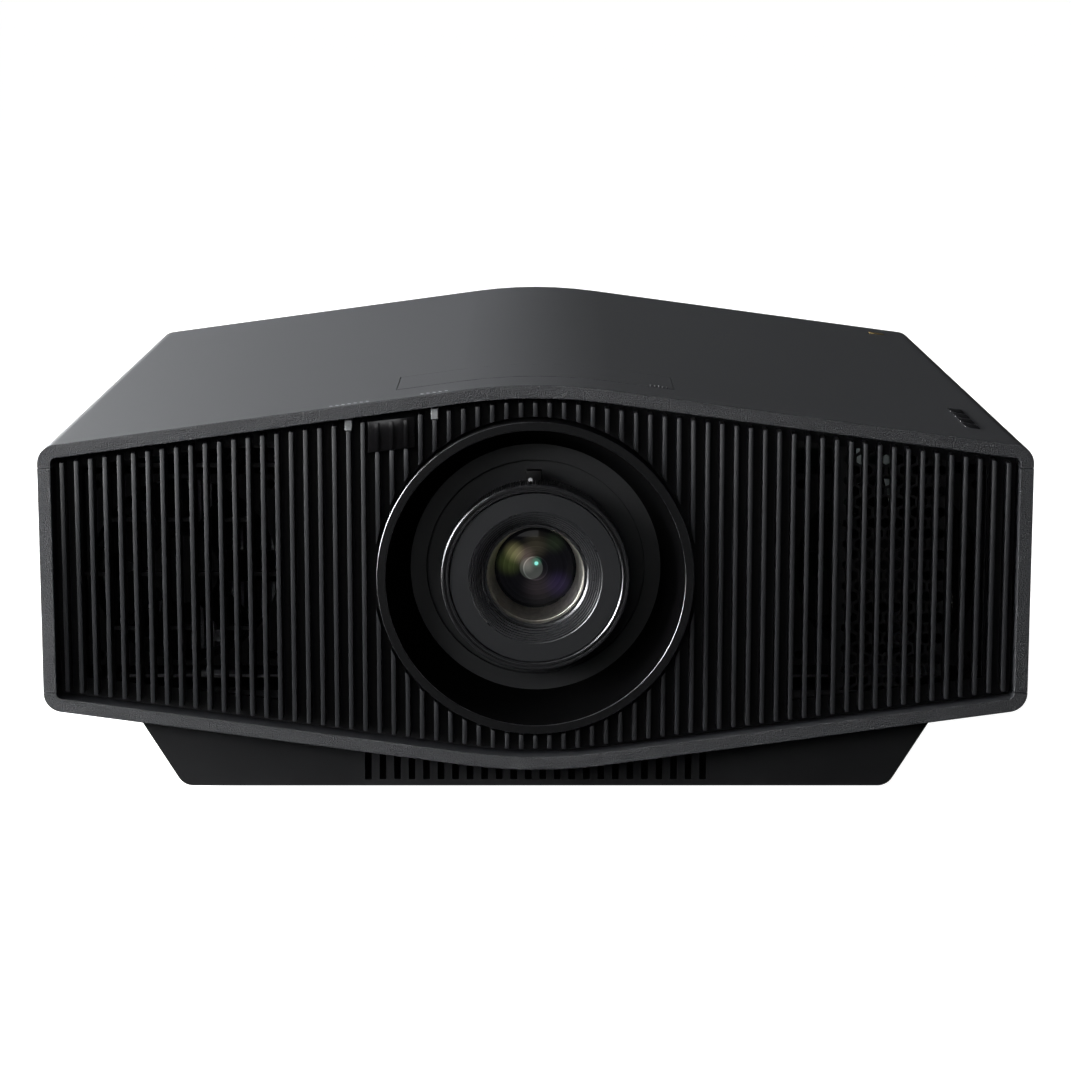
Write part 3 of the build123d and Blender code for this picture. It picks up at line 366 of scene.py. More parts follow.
def graphite_paint(name):
    """Satin graphite paint that turns rough and speckled towards the front face."""
    material = bpy.data.materials.new(name)
    material.use_nodes = True
    tree = material.node_tree
    link = tree.links.new
    shader = tree.nodes["Principled BSDF"]
    place = tree.nodes.new("ShaderNodeTexCoord")
    cloud = tree.nodes.new("ShaderNodeTexNoise")
    cloud.inputs["Scale"].default_value = 9.0
    cloud.inputs["Detail"].default_value = 5.0
    link(place.outputs["Object"], cloud.inputs["Vector"])
    tone = tree.nodes.new("ShaderNodeValToRGB")
    tone.color_ramp.elements[0].position = 0.35
    tone.color_ramp.elements[0].color = (0.0215, 0.0222, 0.0248, 1)
    tone.color_ramp.elements[1].position = 0.65
    tone.color_ramp.elements[1].color = (0.0240, 0.0248, 0.0276, 1)
    link(cloud.outputs["Fac"], tone.inputs["Fac"])
    split = tree.nodes.new("ShaderNodeSeparateXYZ")
    link(place.outputs["Object"], split.inputs["Vector"])
    sandy = tree.nodes.new("ShaderNodeMapRange")
    sandy.inputs["From Min"].default_value = CASE_FACE_STARTS
    sandy.inputs["From Max"].default_value = CASE_FACE_ENDS
    link(split.outputs["Y"], sandy.inputs["Value"])
    rough = tree.nodes.new("ShaderNodeMapRange")
    rough.inputs["To Min"].default_value = 0.46
    rough.inputs["To Max"].default_value = 0.58
    link(sandy.outputs["Result"], rough.inputs["Value"])
    link(rough.outputs["Result"], shader.inputs["Roughness"])
    grain = tree.nodes.new("ShaderNodeTexNoise")
    grain.inputs["Scale"].default_value = 1500.0
    grain.inputs["Detail"].default_value = 2.0
    link(place.outputs["Object"], grain.inputs["Vector"])
    speckle = tree.nodes.new("ShaderNodeValToRGB")
    speckle.color_ramp.elements[0].position = 0.38
    speckle.color_ramp.elements[0].color = (0.0120, 0.0124, 0.0142, 1)
    speckle.color_ramp.elements[1].position = 0.62
    speckle.color_ramp.elements[1].color = (0.0350, 0.0362, 0.0400, 1)
    link(grain.outputs["Fac"], speckle.inputs["Fac"])
    coat = tree.nodes.new("ShaderNodeMix")
    coat.data_type = "RGBA"
    link(sandy.outputs["Result"], coat.inputs["Factor"])
    link(tone.outputs["Color"], coat.inputs["A"])
    link(speckle.outputs["Color"], coat.inputs["B"])
    link(coat.outputs["Result"], shader.inputs["Base Color"])
    depth = tree.nodes.new("ShaderNodeMapRange")
    depth.inputs["To Min"].default_value = 0.03
    depth.inputs["To Max"].default_value = 1.0
    link(sandy.outputs["Result"], depth.inputs["Value"])
    bump = tree.nodes.new("ShaderNodeBump")
    bump.inputs["Distance"].default_value = 0.0007
    link(depth.outputs["Result"], bump.inputs["Strength"])
    link(grain.outputs["Fac"], bump.inputs["Height"])
    link(bump.outputs["Normal"], shader.inputs["Normal"])
    return material


casing_paint = graphite_paint("casing_paint")
coat_nodes(["upper_shell", "lower_shell", "left_side_panel", "right_side_panel"], casing_paint)

# Lid over the shift wheels.
# A slice of the roof on two hidden arms, painted with it, with five short ribs moulded near one corner for a
# fingertip.
coat_nodes(["lens_shift_lid"], casing_paint)
ROOF_SLOPE = 31.2 / 230.0
RIB_PITCH = 0.0019


def roof_at(x):
    """Height of the roof skin, in metres, away from the rounded ridge."""
    return 0.2 - ROOF_SLOPE * abs(x)


def add_block(shape, low, high):
    """Adds a box between two corners and returns its corner points."""
    made = bmesh.ops.create_cube(shape, size=1.0)["verts"]
    size = Vector(high) - Vector(low)
    bmesh.ops.scale(shape, vec=size, verts=made)
    bmesh.ops.translate(shape, vec=(Vector(high) + Vector(low)) / 2, verts=made)
    return made


def soften(shape, width, segments=2, above=30.0):
    """Rounds every edge that is sharper than the given angle."""
    sharp = [e for e in shape.edges if len(e.link_faces) == 2 and e.calc_face_angle() > radians(above)]
    bmesh.ops.bevel(
        shape, geom=sharp, offset=width, offset_type="OFFSET", segments=segments, profile=0.5,
        affect="EDGES", material=-1, clamp_overlap=True,
    )


ribs = bmesh.new()
for number in range(5):
    x = 0.0540 + RIB_PITCH * number
    rib = add_block(ribs, (x, -0.2015, -0.0004), (x + 0.0007, -0.1960 - 0.0006 * abs(number - 2), 0.00035))
    bmesh.ops.translate(ribs, vec=(0, 0, roof_at(x)), verts=rib)
soften(ribs, 0.00012)
finished(ribs, "lid_finger_ribs", "shift_lid", [casing_paint])

# Marks on the roof edge and badges.
# Two rows of pale printed dashes stand behind the indicators, four plain gloss bars are stuck along the right
# of the roof and a small blank gilt plate sits behind them.
dash_ink = moulded_plastic("dash_ink", (0.40, 0.41, 0.42), (0.50, 0.51, 0.52), 0.6, 900.0, 0.2)
DASH_PITCH = 0.0028
DASH_LENGTH = 0.0019
dashes = bmesh.new()
for start, count in ((-0.0950, 7), (-0.0530, 5)):
    for number in range(count):
        x = start + DASH_PITCH * number
        made = add_block(dashes, (x, -0.2322, -0.00002), (x + DASH_LENGTH, -0.2306, 0.00006))
        bmesh.ops.translate(dashes, vec=(0, 0, roof_at(x + 0.001)), verts=made)
finished(dashes, "indicator_dashes", "casing", [dash_ink])


def roof_plate(name, x0, x1, y0, y1, thick, material):
    """Thin plate lying on the right slope of the roof."""
    plate = bmesh.new()
    add_block(plate, (x0, y0, -0.0002), (x1, y1, thick))
    soften(plate, min(thick, 0.0002))
    for point in plate.verts:
        point.co.z += roof_at(point.co.x)
    return finished(plate, name, "casing", [material])


bar_gloss = moulded_plastic("bar_gloss", (0.006, 0.006, 0.007), (0.010, 0.010, 0.011), 0.22, 600.0, 0.05)
BAR_PITCH = 0.0175
BAR_LENGTH = 0.0130
for number in range(4):
    y = -0.196 + BAR_PITCH * number
    roof_plate(f"roof_bar_{number}", 0.2035, 0.2105, y, y + BAR_LENGTH, 0.0004, bar_gloss)
gilt = metal("gilt_plate", (0.50, 0.36, 0.14), (0.62, 0.46, 0.20), 0.3, (1.0, 6.0, 1.0))
roof_plate("roof_gilt_plate", 0.2010, 0.2100, 0.2020, 0.2080, 0.0003, gilt)

# Front grille.
# A moulded panel behind the front opening: a backing plate with the exhaust, intake and lens openings, and 67
# upright slats standing out from it. Each slat has softened edges and stops just short of the lens hood.
grille_plastic = moulded_plastic(
    "grille_plastic", (0.0195, 0.0199, 0.0218), (0.0235, 0.0239, 0.0260), 0.36, 1400.0, 0.04,
)
# The backing plate is coloured far darker than the slats of the same moulding: painted shade in the recesses
# between slats.
backing_black_painted_shade = moulded_plastic(
    "backing_black_painted_shade", (0.0034, 0.0034, 0.0040), (0.0050, 0.0050, 0.0057), 0.6, 1200.0, 0.3, shine=0.25,
)
SLATS = 67
PITCH = 0.00664
HALF_SLAT = 0.00105
SLAT_FRONT = -0.2320
SLAT_BACK = -0.2215
BACKING_FRONT = -0.2219
BACKING_THICKNESS = 0.0029
CASE_WALL = 0.00636
SLAT_END_GAP = 0.003
KEEL_HEIGHT = 0.0134
LENS_HEIGHT = 0.1068
HOOD_GAP = 0.0756
window_slats = (-11, -10, -9)
lit_slats = {-13: 0.1786, -7: 0.1838}


def window_foot(x):
    """Height of the receiver window's lower edge, which slants with the roof."""
    return 0.1656 + 0.114 * (x + 0.0771)


def slat_piece(shape, x, low, high):
    """One upright slat between two heights, from its front edge to the backing plate."""
    return add_block(shape, (x - HALF_SLAT, SLAT_FRONT, low), (x + HALF_SLAT, SLAT_BACK, high))


def trim(shape, verts, point, normal):
    """Cuts these verts' part off on the side the normal points to and closes the cut."""
    faces = list({f for v in verts for f in v.link_faces})
    edges = list({e for f in faces for e in f.edges})
    cut = bmesh.ops.bisect_plane(
        shape, geom=verts + edges + faces, plane_co=point, plane_no=normal, clear_outer=True,
        clear_inner=False,
    )
    rim = [e for e in cut["geom_cut"] if isinstance(e, bmesh.types.BMEdge)]
    bmesh.ops.edgeloop_fill(shape, edges=rim)


grille = bmesh.new()
for number in range(-(SLATS // 2), SLATS // 2 + 1):
    x = number * PITCH
    low = max(KEEL_HEIGHT + ROOF_SLOPE * abs(x) + CASE_WALL + SLAT_END_GAP, 0.0250)
    high = min(roof_at(x) - CASE_WALL - SLAT_END_GAP, 0.1889)
    if number in window_slats:
        high = window_foot(x) - 0.0002
    if number in lit_slats:
        high = lit_slats[number] - 0.0029
    if abs(x) < HOOD_GAP:
        reach = sqrt(HOOD_GAP**2 - x**2)
        slant = Vector((x, 0, reach)).normalized()
        for side in (1, -1):
            touch = Vector((x, 0, LENS_HEIGHT + side * reach))
            ends = (LENS_HEIGHT, high) if side > 0 else (low, LENS_HEIGHT)
            verts = slat_piece(grille, x, *ends)
            trim(grille, verts, touch, (-slant.x, 0, -side * slant.z))
    else:
        slat_piece(grille, x, low, high)
soften(grille, 0.00036)
finished(grille, "grille_slats", "casing", [grille_plastic])


def ring_of_edges(shape, points, y):
    """Closed loop of edges through (x, z) points."""
    corners = [shape.verts.new((x, y, z)) for x, z in points]
    return [shape.edges.new((a, b)) for a, b in zip(corners, corners[1:] + corners[:1])]


def arc_points(cx, cz, radius, start, end, count):
    """Evenly spaced (x, z) points on an arc given in degrees."""
    steps = [radians(start + (end - start) * i / (count - 1)) for i in range(count)]
    return [(cx + radius * cos(t), cz + radius * sin(t)) for t in steps]


plate = bmesh.new()
half = 0.2268
corner = half - 0.006
shoulder = roof_at(corner) - 0.0034
outline = [(corner, shoulder), (half, roof_at(half) - 0.009), (half, 0.0535), (corner, 0.0468)]
outline += [(0.025, 0.0202), (0.0, 0.0188), (-0.025, 0.0202)]
outline += [(-corner, 0.0468), (-half, 0.0535), (-half, roof_at(half) - 0.009), (-corner, shoulder)]
outline += [(-0.03, 0.1926), (0.0, 0.1942), (0.03, 0.1926)]
loops = ring_of_edges(plate, outline, BACKING_FRONT)
exhaust_hole = [(-0.212, 0.057), (-0.119, 0.046), (-0.119, 0.170), (-0.212, 0.158)]
intake_hole = [(0.121, 0.046), (0.211, 0.057), (0.211, 0.158), (0.121, 0.170)]
loops += ring_of_edges(plate, exhaust_hole, BACKING_FRONT)
loops += ring_of_edges(plate, intake_hole, BACKING_FRONT)
loops += ring_of_edges(plate, arc_points(0, LENS_HEIGHT, 0.0742, 0, 357, 120), BACKING_FRONT)
bmesh.ops.triangle_fill(plate, use_beauty=True, use_dissolve=False, edges=loops)
sheet = bmesh.ops.extrude_face_region(plate, geom=plate.faces[:])
back = [v for v in sheet["geom"] if isinstance(v, bmesh.types.BMVert)]
bmesh.ops.translate(plate, vec=(0, BACKING_THICKNESS, 0), verts=back)
backing = finished(plate, "grille_backing", "casing", [backing_black_painted_shade])
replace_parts(backing, "front_grille")

# Receiver window.
# Smoked gloss window filling the width of three slats, with the line of the slats carried over it as thin
# ribs.
smoked = moulded_plastic(
    "window_smoke", (0.0042, 0.0040, 0.0044), (0.0060, 0.0057, 0.0062), 0.18, 300.0, 0.05, shine=0.4,
)
window = bmesh.new()
pane = add_block(window, (-0.0774, -0.2318, 0.0), (-0.0558, -0.2302, 0.0144))
for point in pane:
    point.co.z += window_foot(point.co.x)
for number in window_slats:
    x = number * PITCH
    rib = add_block(window, (x - 0.0010, -0.2324, 0.0010), (x + 0.0010, -0.2316, 0.0134))
    for point in rib:
        point.co.z += window_foot(point.co.x)
soften(window, 0.00022)
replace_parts(finished(window, "receiver_window", "casing", [smoked]), "infrared_window")

# Indicator lenses.
# Two clear light guides capping their slats, frosted inside so that they glow evenly. Each is pushed into the
# backing plate from in front.
guide_plastic = moulded_plastic(
    "guide_frost", (0.20, 0.205, 0.21), (0.30, 0.305, 0.31), 0.25, 500.0, 0.1, 400.0,
)
GUIDE_HALF_WIDTH = 0.0017
GUIDE_HALF_HEIGHT = 0.0026
guides = bmesh.new()
for number, z in lit_slats.items():
    x = number * PITCH
    low_corner = (x - GUIDE_HALF_WIDTH, -0.2324, z - GUIDE_HALF_HEIGHT)
    add_block(guides, low_corner, (x + GUIDE_HALF_WIDTH, -0.2150, z + GUIDE_HALF_HEIGHT))
soften(guides, 0.0004, 3)
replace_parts(finished(guides, "indicator_guides", "casing", [guide_plastic]), "indicator_lenses")

# Lens hood.
# A deep funnel in matt black round the lens, with a narrow flat lip whose two edges are machined bright. It
# ends in a flat ring in front of the shroud.
hood_black = moulded_plastic(
    "hood_black", (0.0036, 0.0037, 0.0041), (0.0048, 0.0049, 0.0053), 0.6, 1500.0, 0.1, shine=0.12,
)
throat_black = moulded_plastic(
    "throat_black", (0.0105, 0.0108, 0.0118), (0.0135, 0.0138, 0.0150), 0.55, 1300.0, 0.25,
)
# The funnel is coloured several times darker than the lip of the same hood: matt black with painted shade in
# the recess.
funnel_black_painted_shade = moulded_plastic(
    "funnel_black_painted_shade", (0.0008, 0.0008, 0.0009), (0.0011, 0.0011, 0.0012), 1.0, 1500.0, 0.1, shine=0.03,
)
bright_edge = metal("bright_edge", (0.12, 0.12, 0.126), (0.19, 0.19, 0.20), 0.34, (1.0, 1.0, 1.0), 0.1)


def turn_profile(shape, profile, steps=256):
    """Spins a closed profile of (radius, y) points round the lens axis."""
    points = [shape.verts.new((radius, y, LENS_HEIGHT)) for radius, y in profile]
    edges = [shape.edges.new((a, b)) for a, b in zip(points, points[1:] + points[:1])]
    bmesh.ops.spin(
        shape, geom=points + edges, cent=(0, 0, LENS_HEIGHT), axis=(0, 1, 0), angle=2 * pi, steps=steps,
        use_merge=True, dvec=(0, 0, 0), use_duplicate=False,
    )


def off_axis(face):
    """Distance of a face's middle from the lens axis."""
    middle = face.calc_center_median()
    return sqrt(middle.x**2 + (middle.z - LENS_HEIGHT) ** 2)


HOOD_LIP = -0.2357
THROAT_RING = -0.2062
hood = bmesh.new()
turn_profile(hood, [
    (0.06990, -0.2360), (0.07355, -0.2360), (0.07380, -0.23575), (0.07380, -0.2188), (0.0820, -0.2188),
    (0.0820, -0.2163), (0.0660, -0.2163), (0.0615, -0.2040), (0.0514, -0.2040), (0.0514, -0.2057),
    (0.0517, -0.2060), (0.0592, -0.2060), (0.06965, -0.23575),
])
for face in hood.faces:
    middle = face.calc_center_median()
    lip = off_axis(face)
    if middle.y < HOOD_LIP and (lip > 0.0735 or lip < 0.0699):
        face.material_index = 1
    elif HOOD_LIP < middle.y < THROAT_RING and lip < 0.0700:
        face.material_index = 2
    elif THROAT_RING < middle.y < -0.2050 and lip < 0.0592:
        face.material_index = 3
hood_finishes = [hood_black, bright_edge, funnel_black_painted_shade, throat_black]
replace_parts(finished(hood, "hood_funnel", "casing", hood_finishes), "lens_hood")

# Shroud.
# Flat disc of black sheet fixed on the barrel, behind the hood's ring. It closes the gap round the lens
# however far the lens is shifted.
shroud_black = moulded_plastic(
    "shroud_black", (0.0125, 0.0129, 0.0140), (0.0155, 0.0159, 0.0172), 0.55, 1300.0, 0.25,
)
shroud = bmesh.new()
turn_profile(shroud, [(0.0391, -0.2034), (0.0600, -0.2034), (0.0600, -0.2019), (0.0391, -0.2019)], 128)
soften(shroud, 0.0002)
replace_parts(finished(shroud, "lens_shroud", "lift_carriage", [shroud_black]), "shroud_disc")

# Lens barrel and its two rings.
# Black anodised aluminium. The focus ring in front is finely knurled with a bright front edge; the zoom ring
# behind it is knurled too and has a short lever with a white dot.
def black_anodise(name, dark, light, roughness):
    """Turned aluminium, anodised black, with fine tool rings round the lens axis."""
    material = bpy.data.materials.new(name)
    material.use_nodes = True
    tree = material.node_tree
    link = tree.links.new
    shader = tree.nodes["Principled BSDF"]
    shader.inputs["Metallic"].default_value = 0.35
    place = tree.nodes.new("ShaderNodeTexCoord")
    centre = tree.nodes.new("ShaderNodeMapping")
    centre.inputs["Location"].default_value = (0.0, 0.0, -LENS_HEIGHT)
    link(place.outputs["Object"], centre.inputs["Vector"])
    turning = tree.nodes.new("ShaderNodeTexWave")
    turning.wave_type = "RINGS"
    turning.rings_direction = "Y"
    turning.inputs["Scale"].default_value = 900.0
    turning.inputs["Distortion"].default_value = 1.5
    link(centre.outputs["Vector"], turning.inputs["Vector"])
    speck = tree.nodes.new("ShaderNodeTexNoise")
    speck.inputs["Scale"].default_value = 1200.0
    link(place.outputs["Object"], speck.inputs["Vector"])
    tone = tree.nodes.new("ShaderNodeValToRGB")
    tone.color_ramp.elements[0].color = (*dark, 1)
    tone.color_ramp.elements[1].color = (*light, 1)
    link(speck.outputs["Fac"], tone.inputs["Fac"])
    link(tone.outputs["Color"], shader.inputs["Base Color"])
    gloss = tree.nodes.new("ShaderNodeMapRange")
    gloss.inputs["To Min"].default_value = roughness - 0.04
    gloss.inputs["To Max"].default_value = roughness + 0.06
    link(turning.outputs["Fac"], gloss.inputs["Value"])
    link(gloss.outputs["Result"], shader.inputs["Roughness"])
    bump = tree.nodes.new("ShaderNodeBump")
    bump.inputs["Distance"].default_value = 0.00004
    bump.inputs["Strength"].default_value = 0.35
    link(turning.outputs["Fac"], bump.inputs["Height"])
    link(bump.outputs["Normal"], shader.inputs["Normal"])
    return material


barrel_black = black_anodise("barrel_black", (0.010, 0.010, 0.011), (0.015, 0.015, 0.0165), 0.42)
face_black = black_anodise("face_black", (0.0150, 0.0155, 0.0170), (0.0182, 0.0187, 0.0204), 0.5)
coat_nodes(["lens_barrel", "zoom_lens_group", "rear_lens_group"], barrel_black)


def knurl(shape, low_y, high_y, radius, deep, steps):
    """Draws every second row of points on the ring's outside inwards, which leaves sharp ribs along it."""
    for point in shape.verts:
        reach = sqrt(point.co.x**2 + (point.co.z - LENS_HEIGHT) ** 2)
        row = round(atan2(point.co.z - LENS_HEIGHT, point.co.x) / (2 * pi) * steps)
        if row % 2 and low_y < point.co.y < high_y and reach > radius - 0.0001:
            shrink = (reach - deep) / reach
            point.co.x *= shrink
            point.co.z = LENS_HEIGHT + (point.co.z - LENS_HEIGHT) * shrink


FOCUS_STEPS = 480
focus = bmesh.new()
turn_profile(focus, [
    (0.0393, -0.2179), (0.0430, -0.2179), (0.0430, -0.2186), (0.0438, -0.2190), (0.0438, -0.2308),
    (0.0434, -0.2311), (0.0434, -0.2315), (0.0440, -0.2318), (0.0440, -0.2325), (0.0435, -0.2330),
    (0.0426, -0.2330), (0.0423, -0.2324), (0.0416, -0.2324), (0.0413, -0.2330), (0.0408, -0.2330),
    (0.0404, -0.2326), (0.0402, -0.2320), (0.0402, -0.2278), (0.0393, -0.2278),
], FOCUS_STEPS)
knurl(focus, -0.2312, -0.2188, 0.0438, 0.00055, FOCUS_STEPS)
for face in focus.faces:
    middle = face.calc_center_median()
    if middle.y < -0.2324 and (off_axis(face) > 0.0436 or off_axis(face) < 0.0409):
        face.material_index = 1
focus_finishes = [barrel_black, bright_edge]
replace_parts(finished(focus, "focus_collar_ring", "focus_collar", focus_finishes, 25.0), "focus_ring")

ZOOM_STEPS = 360
zoom = bmesh.new()
turn_profile(zoom, [
    (0.0393, -0.2066), (0.0421, -0.2066), (0.0426, -0.2071), (0.0426, -0.2169), (0.0421, -0.2174),
    (0.0393, -0.2174),
], ZOOM_STEPS)
knurl(zoom, -0.2170, -0.2070, 0.0426, 0.0005, ZOOM_STEPS)
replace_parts(finished(zoom, "zoom_collar_ring", "zoom_collar", [barrel_black], 25.0), "zoom_ring")

lever_black = moulded_plastic(
    "lever_black", (0.0012, 0.0012, 0.0014), (0.0020, 0.0020, 0.0022), 0.4, 900.0, 0.1, shine=0.25,
)
lever = bmesh.new()
add_block(lever, (-0.0043, -0.2165, LENS_HEIGHT + 0.0415), (0.0032, -0.2105, LENS_HEIGHT + 0.0481))
soften(lever, 0.0006, 3)
finished(lever, "zoom_lever", "zoom_collar", [lever_black])

dot_paint = moulded_plastic("dot_paint", (0.55, 0.55, 0.56), (0.68, 0.68, 0.69), 0.35, 800.0, 0.1)
dot = bmesh.new()
disc = bmesh.ops.create_cone(dot, cap_ends=True, segments=32, radius1=0.0011, radius2=0.0009, depth=0.0003)
made = disc["verts"]
bmesh.ops.rotate(dot, cent=(0, 0, 0), matrix=Matrix.Rotation(pi / 2, 3, "X"), verts=made)
bmesh.ops.translate(dot, vec=(-0.0024, -0.2166, LENS_HEIGHT + 0.0436), verts=made)
finished(dot, "zoom_lever_dot", "zoom_collar", [dot_paint])

# Front lens cell.
# Turned black cell that carries the front glass in and out: a flat face, a flight of fine light-trapping
# steps, then a deep pale satin cone down to the glass.
cell = bmesh.new()
profile = [
    (0.0212, -0.1990), (0.0245, -0.1990), (0.0245, -0.2140), (0.0356, -0.2140), (0.0356, -0.2296),
    (0.0399, -0.2296), (0.0399, -0.2322), (0.0397, -0.2324), (0.0312, -0.2324),
]
deep = -0.2323
for step, drop in enumerate((0.0003, 0.0004, 0.0006, 0.0008, 0.0010, 0.0012, 0.0014)):
    radius = 0.0310 - 0.00100 * step
    profile += [(radius, deep), (radius - 0.0002, deep + drop * 0.9)]
    deep += drop
profile += [(0.0240, -0.2262), (0.0238, -0.2264), (0.0230, -0.2264), (0.0229, -0.2262), (0.0229, -0.2256)]
profile += [(0.0224, -0.2230), (0.0222, -0.2229), (0.0218, -0.2204), (0.0193, -0.2060), (0.0212, -0.2060)]
turn_profile(cell, profile)
cone_satin = metal("cone_satin", (0.44, 0.42, 0.385), (0.66, 0.64, 0.58), 0.42, (1.0, 1.0, 1.0), 0.5)
cell.normal_update()
for face in cell.faces:
    middle = face.calc_center_median()
    reach = off_axis(face)
    if reach < 0.0229 and middle.y < -0.2062:
        face.material_index = 1
    elif 0.0229 < reach < 0.0312 and abs(face.normal.y) < 0.97:
        face.material_index = 2
rim_line = metal("rim_line", (0.16, 0.16, 0.165), (0.24, 0.24, 0.25), 0.3, (1.0, 1.0, 1.0), 0.1)
finished_cell = finished(cell, "front_cell_body", "front_group", [face_black, cone_satin, rim_line], 20.0)
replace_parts(finished_cell, "front_lens_cell")


# Front glass, with what lies behind it painted on.
# A domed element painted with glow and reflections in olive, green and violet, a painted highlight, and
# painted light and shade for the rings of the dark cell walls and smaller elements behind it; it glows though
# it is no lamp.
def painted_glow_glass(name):
    """Dark glass with painted glow, painted reflections from olive to violet and painted rings of light and
    shade.
    """
    material = bpy.data.materials.new(name)
    material.use_nodes = True
    tree = material.node_tree
    link = tree.links.new
    shader = tree.nodes["Principled BSDF"]
    shader.inputs["Roughness"].default_value = 0.06
    shader.inputs["IOR"].default_value = 1.6
    shader.inputs["Specular IOR Level"].default_value = 0.06
    place = tree.nodes.new("ShaderNodeTexCoord")
    centre = tree.nodes.new("ShaderNodeMapping")
    centre.vector_type = "POINT"
    centre.inputs["Location"].default_value = (0.0, 0.0, -LENS_HEIGHT)
    link(place.outputs["Object"], centre.inputs["Vector"])
    split = tree.nodes.new("ShaderNodeSeparateXYZ")
    link(centre.outputs["Vector"], split.inputs["Vector"])

    def spot(x, z, inner, outer):
        """1 at a spot on the glass, falling to 0 at the outer radius."""
        flat = tree.nodes.new("ShaderNodeCombineXYZ")
        link(split.outputs["X"], flat.inputs["X"])
        link(split.outputs["Z"], flat.inputs["Z"])
        reach = tree.nodes.new("ShaderNodeVectorMath")
        reach.operation = "DISTANCE"
        reach.inputs[1].default_value = (x, 0.0, z)
        link(flat.outputs["Vector"], reach.inputs[0])
        fall = tree.nodes.new("ShaderNodeMapRange")
        fall.interpolation_type = "SMOOTHERSTEP"
        fall.inputs["From Min"].default_value = inner
        fall.inputs["From Max"].default_value = outer
        fall.inputs["To Min"].default_value = 1.0
        fall.inputs["To Max"].default_value = 0.0
        link(reach.outputs["Value"], fall.inputs["Value"])
        return fall.outputs["Result"]

    # Painted glow and painted reflections: coloured patches across the glass, with a painted cyan-white
    # highlight.
    glow = None
    for x, z, inner, outer, colour in (
        (-0.0125, 0.0030, 0.0, 0.0090, (0.030, 0.040, 0.010, 1)),
        (-0.0100, 0.0078, 0.0, 0.0068, (0.130, 0.122, 0.055, 1)),
        (-0.0052, 0.0058, 0.0, 0.0072, (0.075, 0.055, 0.048, 1)),
        (0.0000, 0.0110, 0.0, 0.0090, (0.026, 0.023, 0.014, 1)),
        (0.0093, 0.0125, 0.0, 0.0075, (0.009, 0.014, 0.006, 1)),
        (0.0110, -0.0080, 0.0, 0.0095, (0.010, 0.006, 0.022, 1)),
        (0.0015, -0.0085, 0.0, 0.0110, (0.014, 0.011, 0.012, 1)),
        (-0.0020, 0.0002, 0.0052, 0.0056, (0.030, 0.034, 0.030, 1)),
        (-0.0040, 0.0010, 0.0, 0.0050, (0.060, 0.058, 0.052, 1)),
        (0.0004, 0.0030, 0.0, 0.0034, (0.010, 0.085, 0.050, 1)),
        (0.0004, 0.0024, 0.0003, 0.0014, (0.200, 0.600, 0.550, 1)),
    ):
        mixer = tree.nodes.new("ShaderNodeMix")
        mixer.data_type = "RGBA"
        mixer.blend_type = "ADD"
        mixer.inputs["B"].default_value = colour
        link(spot(x, z, inner, outer), mixer.inputs["Factor"])
        if glow is None:
            mixer.inputs["A"].default_value = (0.004, 0.004, 0.005, 1)
        else:
            link(glow, mixer.inputs["A"])
        glow = mixer.outputs["Result"]
    flat = tree.nodes.new("ShaderNodeMapping")
    flat.inputs["Scale"].default_value = (1.0, 0.0, 1.0)
    link(centre.outputs["Vector"], flat.inputs["Vector"])
    reach = tree.nodes.new("ShaderNodeVectorMath")
    reach.operation = "LENGTH"
    link(flat.outputs["Vector"], reach.inputs[0])
    edges_seen = tree.nodes.new("ShaderNodeMapRange")
    edges_seen.inputs["From Max"].default_value = 0.020
    link(reach.outputs["Value"], edges_seen.inputs["Value"])
    # Painted light and shade: bright and dark rings stand for edges of the elements behind; painted shade
    # darkens the rim.
    painted_cell_rings = tree.nodes.new("ShaderNodeValToRGB")
    painted_cell_rings.color_ramp.elements[0].color = (1.0, 1.0, 1.0, 1)
    painted_cell_rings.color_ramp.elements[1].position = 0.975
    painted_cell_rings.color_ramp.elements[1].color = (0.25, 0.25, 0.25, 1)
    for place_out, shade in (
        (0.262, 1.0), (0.272, 1.9), (0.288, 1.9), (0.298, 0.70), (0.385, 0.85), (0.395, 0.55),
        (0.410, 0.85), (0.505, 0.80), (0.520, 1.15), (0.535, 0.75), (0.640, 0.90), (0.655, 0.60),
        (0.740, 0.80), (0.752, 1.10), (0.770, 0.65), (0.870, 0.75), (0.905, 0.35),
    ):
        stop = painted_cell_rings.color_ramp.elements.new(place_out)
        stop.color = (shade, shade, shade, 1)
    link(edges_seen.outputs["Result"], painted_cell_rings.inputs["Fac"])
    seen = tree.nodes.new("ShaderNodeMix")
    seen.data_type = "RGBA"
    seen.blend_type = "MULTIPLY"
    seen.inputs["Factor"].default_value = 1.0
    link(glow, seen.inputs["A"])
    link(painted_cell_rings.outputs["Color"], seen.inputs["B"])
    glow = seen.outputs["Result"]
    link(glow, shader.inputs["Base Color"])
    # The painted colour is emitted too, so the glass glows though it is no lamp.
    link(glow, shader.inputs["Emission Color"])
    shader.inputs["Emission Strength"].default_value = 0.9
    return material


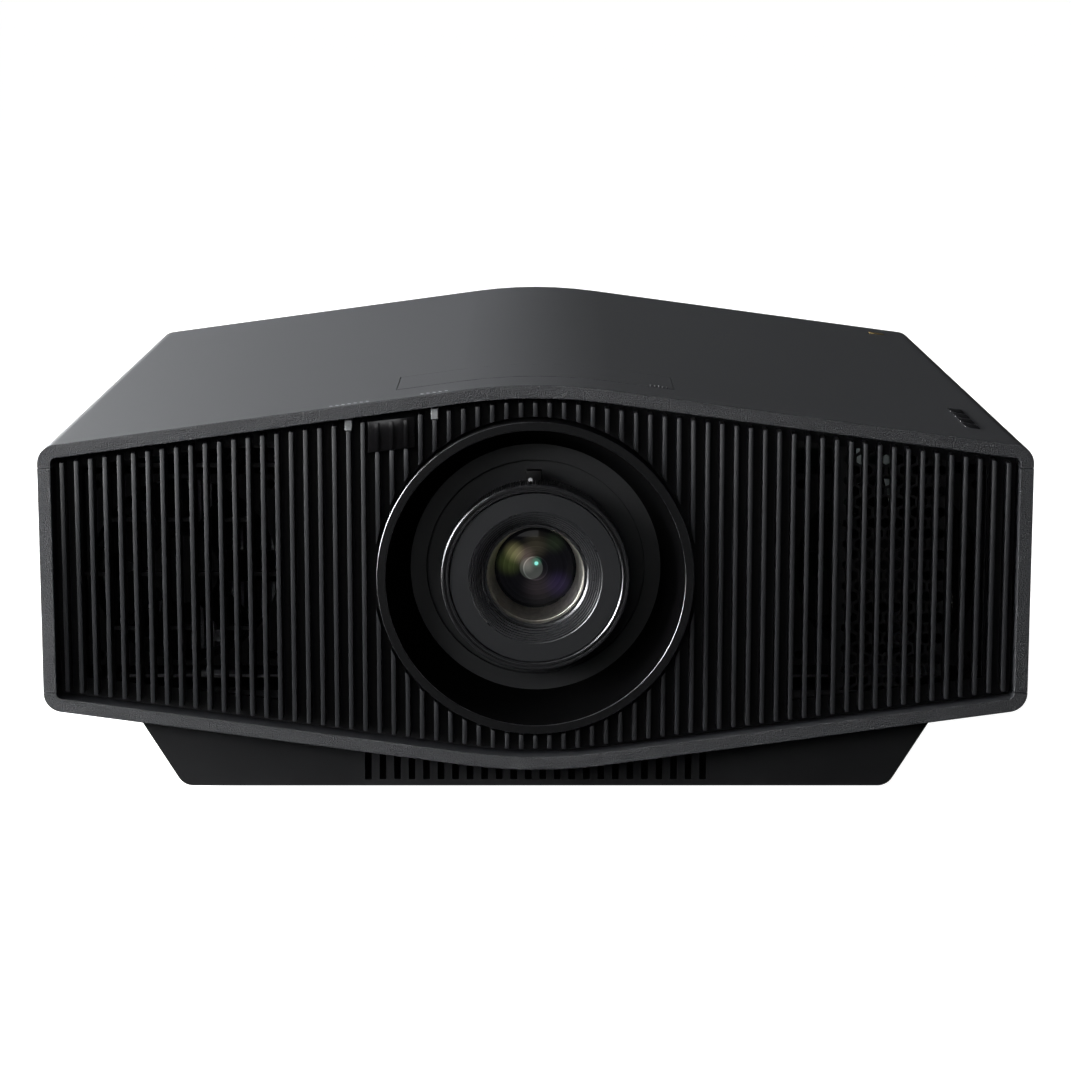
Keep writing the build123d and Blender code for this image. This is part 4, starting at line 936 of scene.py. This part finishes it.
glass_painted_light = painted_glow_glass("front_glass_painted_light")
GLASS_FACE = -0.2062
glass = bmesh.new()
dome = [(0.0192 * step / 16, GLASS_FACE - 0.0022 * (1 - (step / 16) ** 2)) for step in range(17)]
dome += [(0.0209, -0.2058), (0.0209, -0.2006), (0.0, -0.1992)]
points = [glass.verts.new((radius, y, LENS_HEIGHT)) for radius, y in dome]
edges = [glass.edges.new((a, b)) for a, b in zip(points, points[1:])]
bmesh.ops.spin(
    glass, geom=points + edges, cent=(0, 0, LENS_HEIGHT), axis=(0, 1, 0), angle=2 * pi, steps=128,
    use_merge=True, dvec=(0, 0, 0), use_duplicate=False,
)
bmesh.ops.remove_doubles(glass, verts=glass.verts, dist=0.000002)
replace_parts(finished(glass, "front_element", "front_group", [glass_painted_light], 40.0), "front_glass")

# Shift wheels.
# Two black thumb wheels on long shafts, reached through the lid. Each moves one of the lens carriages.
dial_black = moulded_plastic("dial_black", (0.012, 0.012, 0.013), (0.018, 0.018, 0.019), 0.5, 800.0, 0.3)
coat_nodes(["horizontal_shift_dial", "vertical_shift_dial"], dial_black)

# Back.
# Textured black rear panel with louvres, the hinged filter door over its filter and the black mains inlet.
# The jack sockets on the side are of the inlet's plastic.
rear_plastic = moulded_plastic(
    "rear_plastic", (0.012, 0.012, 0.013), (0.017, 0.017, 0.018), 0.55, 1100.0, 0.5,
)
coat_nodes(["rear_panel", "filter_cover"], rear_plastic)
inlet_black = moulded_plastic("inlet_black", (0.008, 0.008, 0.008), (0.012, 0.012, 0.012), 0.35, 900.0, 0.15)
coat_nodes(["power_inlet", "jack_sockets"], inlet_black)

# Sockets and keys.
# Plated steel socket shells behind the recess in the right side; satin keys in a shallow field in the left.
socket_plate = metal("socket_plate", (0.50, 0.51, 0.53), (0.66, 0.67, 0.69), 0.25, (8.0, 1.0, 1.0), 0.1)
coat_nodes(["video_sockets", "network_socket", "usb_sockets"], socket_plate)
key_plastic = moulded_plastic("key_plastic", (0.030, 0.031, 0.034), (0.038, 0.039, 0.043), 0.38, 1200.0, 0.2)
coat_nodes(["standby_key", "input_key", "menu_key", "arrow_key_ring", "enter_key"], key_plastic)
